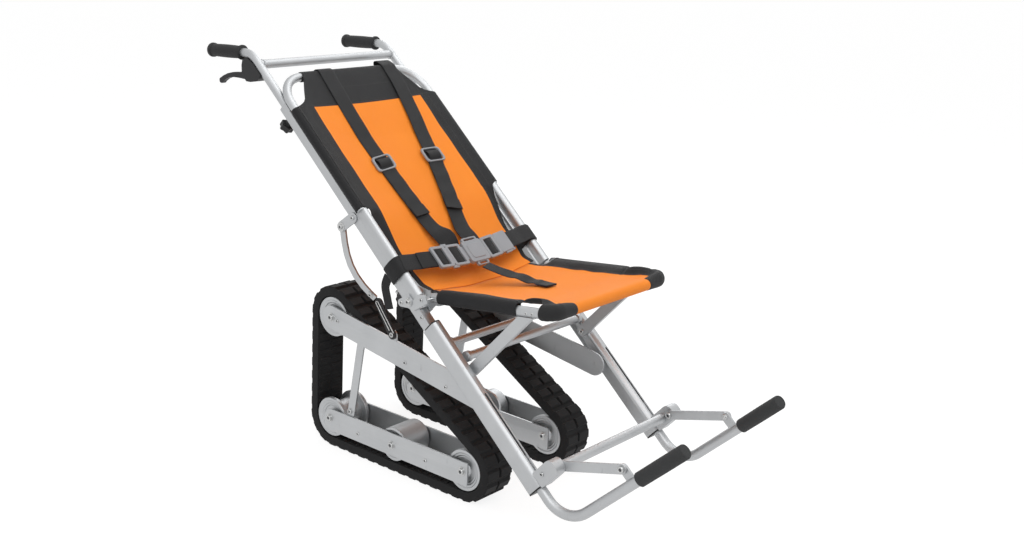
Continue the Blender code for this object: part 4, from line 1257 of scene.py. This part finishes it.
def shoulder_web(mesh, run, slack, most_twist, tilt):
    """One strap over the bar and down the back, with its doubled end on top."""
    path = []
    for i in range(15):
        around = math.radians(-75 + 165 * i / 14)
        rise = BAR_ROUND + slack * max(0.0, math.cos(around)) ** 2
        s, v = HOOP_TOP + rise * math.cos(around), HOOP_V + BAR_ROUND * math.sin(around)
        path.append(on_rail(run[0], s, v))
    wides = [ACROSS] * len(path)
    for i in range(1, 57):
        s = 0.650 - 0.562 * i / 56
        x = strap_x(run, s)
        twist = most_twist * bell(s - 0.120, 0.028)
        lift = 0.020 * math.sin(twist) + 0.010 * bell(s - 0.088, 0.03)
        path.append(on_rail(x, s, strap_height(x, s) + lift + 0.0005 * math.sin(s * 55)))
        wides.append(ACROSS * math.cos(twist) + OUT_OF_RAIL * math.sin(twist))
    strap(mesh, path, wides, 0.048)
    tail = []
    for i in range(30):
        share = i / 29
        s = 0.372 - 0.172 * i / 29
        x = strap_x(run, s) - 0.004 * share**2
        lift = 0.0026 + 0.0022 * share**3 + 0.0006 * math.sin(i * 0.7)
        tail.append(on_rail(x, s, strap_height(x, s) + lift))
    fold = [spot + OUT_OF_RAIL * 0.0024 for spot in tail[-6:]]
    for path in (tail, fold):
        strap(mesh, path, ACROSS + UP_RAIL * tilt, 0.050)


def adjuster(mesh, x, height, lean):
    """The frame of a slide adjuster, lofted from its outside over the rim to its window."""
    rings = []
    levels = [(1.0, 0.0), (1.0, 0.0030), (0.965, 0.0044)]
    levels += [(0.84, 0.0044), (0.80, 0.0030), (0.80, 0.0)]
    for grow, rise in levels:
        ring = []
        for a, b in rounded_outline((-0.034, -0.0225), (0.034, 0.0225), 0.010, 6):
            shrink = 1 - (1 - grow) * (1.0 if abs(a) > abs(b) else 1.35)
            s = ADJUSTER_S + b * shrink + a * lean
            ring.append(on_rail(x + a * grow, s, height + 0.0016 + rise))
        rings.append(ring)
    skin(mesh, rings + rings[:1], False)
    weld(mesh)
    face_out(mesh)


print("adjusters sit at s", ADJUSTER_S)

# %% Shoulder straps
STRAPS = (
    ("right", (-0.085, -0.055, 2.6), 0.0, 0.62, 0.10, 0.10),
    ("left", (0.140, 0.033, 1.5), 0.014, 0.15, 0.02, -0.02),
)
for side, run, slack, most_twist, tilt, lean in STRAPS:
    web = bmesh.new()
    shoulder_web(web, run, slack, most_twist, tilt)
    web_piece("shoulder_webbing_" + side, web, ("shoulder_strap_" + side,))
    x = strap_x(run, ADJUSTER_S)
    height = strap_height(x, ADJUSTER_S)
    glide = bmesh.new()
    adjuster(glide, x, height, lean)
    piece("slide_adjuster_" + side, glide, grey_plastic, "frame", (), 50)
    hump = bmesh.new()
    bulge = []
    for i in range(13):
        k = i / 12 - 0.5
        rise = 0.0026 + 0.0062 * math.cos(k * math.pi) ** 0.6
        bulge.append(on_rail(x, ADJUSTER_S + k * 0.026, height + rise))
    strap(hump, bulge, ACROSS + UP_RAIL * lean, 0.043)
    web_piece("adjuster_webbing_" + side, hump)
print("shoulder straps start at x", [row[1][0] for row in STRAPS])

# %% [markdown]
# The lap belt loops round each rail and meets in front of the sitter. It is
# the same webbing, carried along a shallow curve that stands off the sling in
# the middle, with its doubled end lying on top.

# %% Lap belt
CLASP_X = -0.0115
BELT_END = 0.240
LOOP_X, LOOP_S, LOOP_V = 0.2372, 0.077, 0.0050
DOUBLED = {"right": slice(6, 13), "left": slice(9, 14)}


def lap_height(x):
    """How far the lap belt's middle stands off the rail plane."""
    return 0.0322 + 0.010 * (1 - min(1.0, abs(x - CLASP_X) / 0.22) ** 2)


def lap_s(x):
    """How far up the rails the lap belt's middle lies."""
    return 0.079 - 0.026 * (1 - min(1.0, abs(x - CLASP_X) / 0.23) ** 1.5)


for side, sign in SIDES.items():
    web = bmesh.new()
    path = []
    for i in range(33):
        around = 2 * math.pi * i / 32 + math.radians(90)
        cos, sin = math.cos(around), math.sin(around)
        bulge = (abs(cos) ** 3 + abs(sin) ** 3) ** (-1 / 3)
        x = sign * LOOP_X - sign * 0.0180 * bulge * cos
        path.append(on_rail(x, LOOP_S, LOOP_V + 0.0275 * bulge * sin))
    strap(web, path, UP_RAIL, 0.046, 0.0020)
    path = []
    start, end = sign * BELT_END, CLASP_X + sign * 0.036
    for i in range(25):
        x = start + (end - start) * i / 24
        lift = 0.0010 + 0.0006 * math.sin(i * 0.9)
        path.append(on_rail(x, lap_s(x), lap_height(x) + lift))
    strap(web, path, UP_RAIL, 0.045)
    path = [spot + OUT_OF_RAIL * 0.0026 for spot in path[DOUBLED[side]]]
    strap(web, path, UP_RAIL + ACROSS * 0.03, 0.045)
    web_piece("lap_webbing_" + side, web, ("lap_belt_" + side,))
print("lap belt meets at x", CLASP_X)

# %% [markdown]
# The release buckle and its ladder frames are moulded in grey plastic: flat
# plates with rounded corners, a soft rim and windows that the webbing shows
# through. They are lofted from rings, the outline, the rim and then the window,
# and bent along the belt by the function that places each point. Each row of a
# table gives two corners, the corner's radius, the lower and upper face, and a
# window where there is one.

# %% Moulded plates
RIM = 0.0012
WINDOW_RIM = 0.0010


def grown(low, high, by):
    """The same rectangle with each side moved out."""
    return (low[0] - by, low[1] - by), (high[0] + by, high[1] + by)


def moulding(mesh, place, low, high, corner, floor, top, window=None):
    """A moulded plate with a rounded rim; with a window it is a frame."""
    rim = rounded_outline(low, high, corner)
    soft = rounded_outline(*grown(low, high, -RIM), max(corner - 0.001, 0.0006))
    levels = [(rim, floor), (rim, top - RIM), (soft, top)]
    if window:
        hole = rounded_outline(*window, 0.002)
        wide = rounded_outline(*grown(*window, WINDOW_RIM), 0.003)
        levels += [(wide, top), (hole, top - WINDOW_RIM), (hole, floor)]
    rings = [[place(a, b, height) for a, b in outline] for outline, height in levels]
    if window:
        skin(mesh, rings + rings[:1], False)
        weld(mesh)
    else:
        skin(mesh, rings)


def on_belt(x, rise_s, rise_v):
    """A point measured from the buckle's middle, following the belt's curve."""
    x += CLASP_X
    return on_rail(x, lap_s(x) + rise_s, lap_height(x) + 0.0020 + rise_v)


print("the buckle's middle is at", short(on_belt(0, 0, 0)))

# %% Buckle and frames
FRAMES = (
    ((-0.134, -0.031), (-0.09, 0.031), 0.006, 0.0, 0.0075, ((-0.1255, -0.0235), (-0.0985, 0.0235))),
    ((-0.088, -0.031), (-0.04, 0.031), 0.006, 0.0, 0.0075, ((-0.0795, -0.0235), (-0.0485, 0.0235))),
    ((-0.0915, -0.024), (-0.0865, 0.024), 0.002, 0.001, 0.0070),
    ((-0.047, -0.020), (-0.030, 0.020), 0.003, 0.001, 0.0062),
    ((-0.096, -0.0355), (-0.078, -0.0275), 0.002, 0.001, 0.0058),
    ((-0.096, 0.0275), (-0.078, 0.0355), 0.002, 0.001, 0.0058),
    ((0.038, -0.031), (0.090, 0.031), 0.006, 0.0, 0.0075, ((0.0470, -0.0235), (0.0790, 0.0235))),
    ((0.088, -0.029), (0.140, 0.029), 0.007, 0.0, 0.0080),
    ((0.104, -0.034), (0.130, -0.026), 0.003, 0.001, 0.0060),
    ((0.130, -0.032), (0.146, -0.026), 0.002, 0.001, 0.0050),
)
CLASP = (
    ((-0.034, -0.031), (0.034, 0.031), 0.007, 0.0, 0.0105),
    ((-0.024, -0.021), (0.024, 0.021), 0.008, 0.010, 0.0122),
    ((-0.025, 0.028), (0.028, 0.041), 0.005, 0.001, 0.0085, ((-0.018, 0.0315), (0.021, 0.0370))),
    ((-0.018, -0.041), (0.022, -0.028), 0.005, 0.001, 0.0075, ((-0.012, -0.0375), (0.016, -0.032))),
)
MOULDED = (("belt_frames", FRAMES, ()), ("release_buckle", CLASP, ("harness_buckle",)))
for name, plates, replaced in MOULDED:
    group = bmesh.new()
    for sizes in plates:
        moulding(group, on_belt, *sizes)
    face_out(group)
    piece(name, group, grey_plastic, "frame", replaced, 40)

window_web = bmesh.new()
WINDOWS = ((-0.1255, -0.0985, 0.0042), (-0.0795, -0.0485, 0.0050), (0.0475, 0.0785, 0.0050))
for low, high, rise in WINDOWS:
    path = []
    for i in range(11):
        k = i / 10
        arch = 0.0008 + rise * math.sin(math.pi * k) ** 0.7
        path.append(on_belt(low + (high - low) * k, 0, arch))
    strap(window_web, path, UP_RAIL, 0.0450)
web_piece("buckle_webbing", window_web)
print("harness buckles set at s", round(lap_s(CLASP_X), 3))

# %% [markdown] A loose tail of webbing comes out from under the buckle and lies
# on the seat in a few low ripples. The bend is kept short and near the hinge,
# because a point that turned less than the seat below it would come out
# underneath.

# %% Loose tail on the seat
tail_points = [(-0.018, 0.040, 0.043), (-0.009, 0.077, 0.030), (0.010, 0.111, 0.017)]
tail_points += [(0.028, 0.149, 0.004), (0.034, 0.176, -0.001), (0.030, 0.205, -0.0015)]
run = smooth_path([on_seat(*spot) for spot in tail_points])
RIPPLE_FROM, RIPPLE_TO, RIPPLE = 12, 29, 8
for i in range(RIPPLE_FROM, RIPPLE_TO):
    run[i] = run[i] + SEAT_UP * (0.0022 * math.sin(math.pi * (i - RIPPLE_FROM) / RIPPLE) ** 2)
slant = ACROSS + SEAT_FORWARD * 0.25
web = bmesh.new()
for path in (run, [spot + SEAT_UP * 0.0021 for spot in run[-9:]]):
    strap(web, path, slant, 0.034, 0.0020)
loose_tail = piece("loose_tail", web, webbing, None, (), 60)
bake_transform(loose_tail)
print("tail length", round(sum((b - a).length for a, b in zip(run, run[1:])), 3), "m")

# %% [markdown]
# Every pivot ends in something bright: a cap bolt with a six-sided socket, or a
# nut on the inner side. One function lofts rings for all of them, and a head
# takes its six sides where a ring says so. The heads are gathered by the body
# that carries them, so they stay on their plates when the chair folds. A dark
# disc at the bottom of each socket is painted shade: it stands for the shadow
# that a deep socket holds.

# %% Bolt and nut shapes
SIXTH = math.pi / 3


def stud(mesh, place, way, steps, sides=24):
    """Rings along way: how far, how wide, and whether the ring is six-sided."""
    way = way.normalized()
    side = way.orthogonal().normalized()
    other = way.cross(side)
    rings = []
    for along, radius, six in steps:
        ring = []
        for k in range(sides):
            a = 2 * math.pi * k / sides
            corner = math.cos(SIXTH / 2) / math.cos(a % SIXTH - SIXTH / 2) if six else 1.0
            outwards = side * math.cos(a) + other * math.sin(a)
            ring.append(place + way * along + outwards * (radius * corner))
        rings.append(ring)
    skin(mesh, rings)


def cap_bolt(radius, height, socket, washer=0.0):
    """A round head with a six-sided socket, on a washer where one is given."""
    foot = 0.0013 if washer else 0.0
    steps = []
    if washer:
        steps = [(0.0, washer, False), (0.0009, washer, False), (foot, washer - 0.0005, False)]
    steps += [(foot, radius, False), (height - 0.0009, radius, False)]
    steps += [(height, radius - 0.0009, False), (height, radius * 0.58, True)]
    return steps + [(socket, radius * 0.54, True), (socket, NEEDLE, True)]


def nut(radius, height):
    """A six-sided nut with the end of its bolt standing out."""
    steps = [(0.0, radius, True), (height - 0.0006, radius, True), (height, radius - 0.0009, True)]
    steps += [(height, 0.0036, False), (height + 0.0012, 0.0034, False)]
    return steps + [(height + 0.0016, 0.0026, False)]


heads, sockets = {}, {}


def fasten(node, place, way, steps):
    """Sets one head on the body that carries a node."""
    body = BODY_OF[node]
    if body not in heads:
        heads[body], sockets[body] = bmesh.new(), bmesh.new()
    stud(heads[body], place, way, steps)
    floor, radius, six = steps[-2]
    # painted shade: a dark disc on the socket's floor stands for the shadow inside it
    if six:
        disc = [(floor - 0.0002, radius * 0.92, True), (floor + 0.00015, radius * 0.92, True)]
        stud(sockets[body], place, way, disc)


print("a cap bolt has", len(cap_bolt(0.005, 0.0022, 0.0008)), "rings")

# %% Bolts and nuts
SMALL = cap_bolt(0.0050, 0.0022, 0.0008)
HINGE_BOLT = cap_bolt(0.0062, 0.0046, 0.0030, 0.0096)
BRACE_BOLT = cap_bolt(0.0062, 0.0046, 0.0031, 0.0120)
CROSSBAR_BOLT = cap_bolt(0.0056, 0.0026, 0.0012)
BAR_SPOTS = ((0.4469, 0.3515), (0.2053, 0.3036), (0.0695, 0.2786))
FRAME_SPOTS = ((0.3664, 0.0665), (0.1287, 0.0685))
KNEE = on_track(0, 0.295, 0.437)
BRACE_TOP = (0.26, -0.058)
for side, sign in SIDES.items():
    out = ACROSS * sign
    for name, hub in HUBS.items():
        arm = ("track_bar_" if name == "top" else "track_frame_") + side
        fasten(arm, on_track(sign * 0.2058, *hub), out, cap_bolt(0.0085, 0.0060, 0.0044, 0.0116))
        fasten(arm, on_track(sign * 0.1042, *hub), -out, cap_bolt(0.0085, 0.0050, 0.0036, 0.0116))
    for arm, spots in (("track_bar_", BAR_SPOTS), ("track_frame_", FRAME_SPOTS)):
        for spot in spots:
            fasten(arm + side, on_track(sign * 0.2057, *spot), out, SMALL)
    for node, spot, head in (
        ("track_upright_", (0.2004, 0.4007, 0.1174), cap_bolt(0.0066, 0.0046, 0.0030)),
        ("track_bar_", (0.2111, 0.247, 0.366), cap_bolt(0.0062, 0.0030, 0.0012)),
    ):
        fasten(node + side, on_track(sign * spot[0], *spot[1:]), out, head)
    for node, (x, s, v), way, head in (
        ("brace_bracket_" + side, (0.2533, 0.25, -0.009), out, cap_bolt(0.0052, 0.0040, 0.0030)),
        ("brace_bracket_" + side, (0.2533, *BRACE_TOP), out, BRACE_BOLT),
        ("hinge_bracket_" + side, (0.2555, -0.0055, -0.0045), out, HINGE_BOLT),
        ("hinge_bracket_" + side, (0.2532, 0.0075, -0.026), out, SMALL),
        ("hinge_bracket_" + side, (0.2532, -0.0264, 0.0313), out, SMALL),
        ("back_rail_" + side, (0.2489, -0.0551, -0.002), out, cap_bolt(0.0050, 0.0022, 0.0010)),
        ("strut_" + side, (0.2063, -0.224, 0.010), -out, cap_bolt(0.0062, 0.0028, 0.0014)),
        ("foot_crossbar", (0.251, -0.5212, 0.0458), out, CROSSBAR_BOLT),
        ("foot_crossbar", (0.219, -0.5212, 0.0458), -out, CROSSBAR_BOLT),
        ("foot_link_" + side, (0.2136, -0.531, 0.0805), -out, cap_bolt(0.0078, 0.0074, 0.0064)),
        ("foot_link_" + side, (0.2187, EAR_S, EAR_V), out, cap_bolt(0.0078, 0.0058, 0.0044)),
        ("foot_tube_" + side, (0.2075, EAR_S, EAR_V), -out, nut(0.0076, 0.0036)),
    ):
        fasten(node, on_rail(sign * x, s, v), way, head)
    for t in (0.334, 0.352):
        spot = on_seat(sign * 0.2259, t, -0.0015)
        fasten("seat_frame", spot, out, cap_bolt(0.0036, 0.0016, 0.0008))
    down = (KNEE - on_rail(0, *BRACE_TOP)).normalized()
    spot = KNEE - down * 0.026 + Vector((0, -down.z, down.y)) * 0.0046
    slope = (out + down * 0.43).normalized()
    spot = spot + ACROSS * (sign * 0.2221) + slope * 0.0026
    fasten("brace_arm_" + side, spot, slope, cap_bolt(0.0056, 0.0032, 0.0016, 0.0082))
for body in heads:
    face_out(heads[body])
    face_out(sockets[body])
    piece("bolts_" + body, heads[body], zinc, body, (), 30)
    # painted shade: the dark socket discs of this body, in one mesh
    piece("sockets_" + body, sockets[body], socket_shade_paint, body, (), 30)

# %% [markdown]
# The last small parts: a plastic catch with a steel pull pin behind each hinge,
# a wire spring on each folding link, a rubber wiper where the back rail enters
# its sleeve, and the spare end of the near lap belt, which hangs behind its
# rail. Each one is drawn from the helpers above and sits on what carries it.

# %% Catches, springs and wipers
CATCH = (
    ((-0.002, -0.045), (0.030, -0.0208), 0.005, 0.226, 0.2458),
    ((0.004, -0.039), (0.020, -0.0270), 0.004, 0.2450, 0.2474),
)
PIN = [(0.0, 0.0036), (0.0090, 0.0036), (0.0096, 0.0028), (0.0106, 0.0028), (0.0112, 0.0050)]
PIN += [(0.0122, 0.0056), (0.0158, 0.0056), (0.0166, 0.0048), (0.0168, 0.0)]
SPRING = ((0.2393, 0.3724), (0.2975, 0.4419), (0.3035, 0.4366), (0.2540, 0.3760))
for side, sign in SIDES.items():
    catch = bmesh.new()
    for sizes in CATCH:
        moulding(catch, lambda s, v, x: on_rail(sign * x, s, v), *sizes)
    face_out(catch)
    piece("hinge_catch_" + side, catch, black_plastic, "frame", (), 40)
    pin = bmesh.new()
    turned(pin, on_rail(sign * 0.236, 0.0400, -0.0203), -OUT_OF_RAIL, PIN, 24)
    piece("pull_pin_" + side, pin, zinc, "frame", (), 30)

    wire = bmesh.new()
    ends = [on_track(sign * 0.2124, *spot) for spot in SPRING]
    tube(wire, rounded_path(ends, 0.0036, 6), 0.0012, 10)
    body = "brace_link_" + side
    piece("link_spring_" + side, wire, zinc, body, (), 60)

    wiper = bmesh.new()
    band = rounded_outline((0.2204, -0.0214), (0.2496, 0.0214), 0.0125, 6)
    lip = rounded_outline((0.2198, -0.0220), (0.2502, 0.0220), 0.0130, 6)
    steps = ((-0.0849, lip), (-0.0826, lip), (-0.0816, band))
    skin(wiper, [[on_rail(sign * x, s, v) for x, v in ring] for s, ring in steps])
    face_out(wiper)
    piece("rail_wiper_" + side, wiper, grip_rubber, "frame", (), 40)

spare = [on_rail(-0.2425, 0.082, -0.0255), Vector((-0.2430, 0.0955, 0.4990))]
spare += [Vector((-0.2430, 0.0890, 0.4720)), Vector((-0.2430, 0.0800, 0.4440))]
web = bmesh.new()
strap(web, smooth_path(spare), Vector((0, 0.93, 0.20)), 0.027, 0.0020)
web_piece("spare_webbing", web)

# %% [markdown]
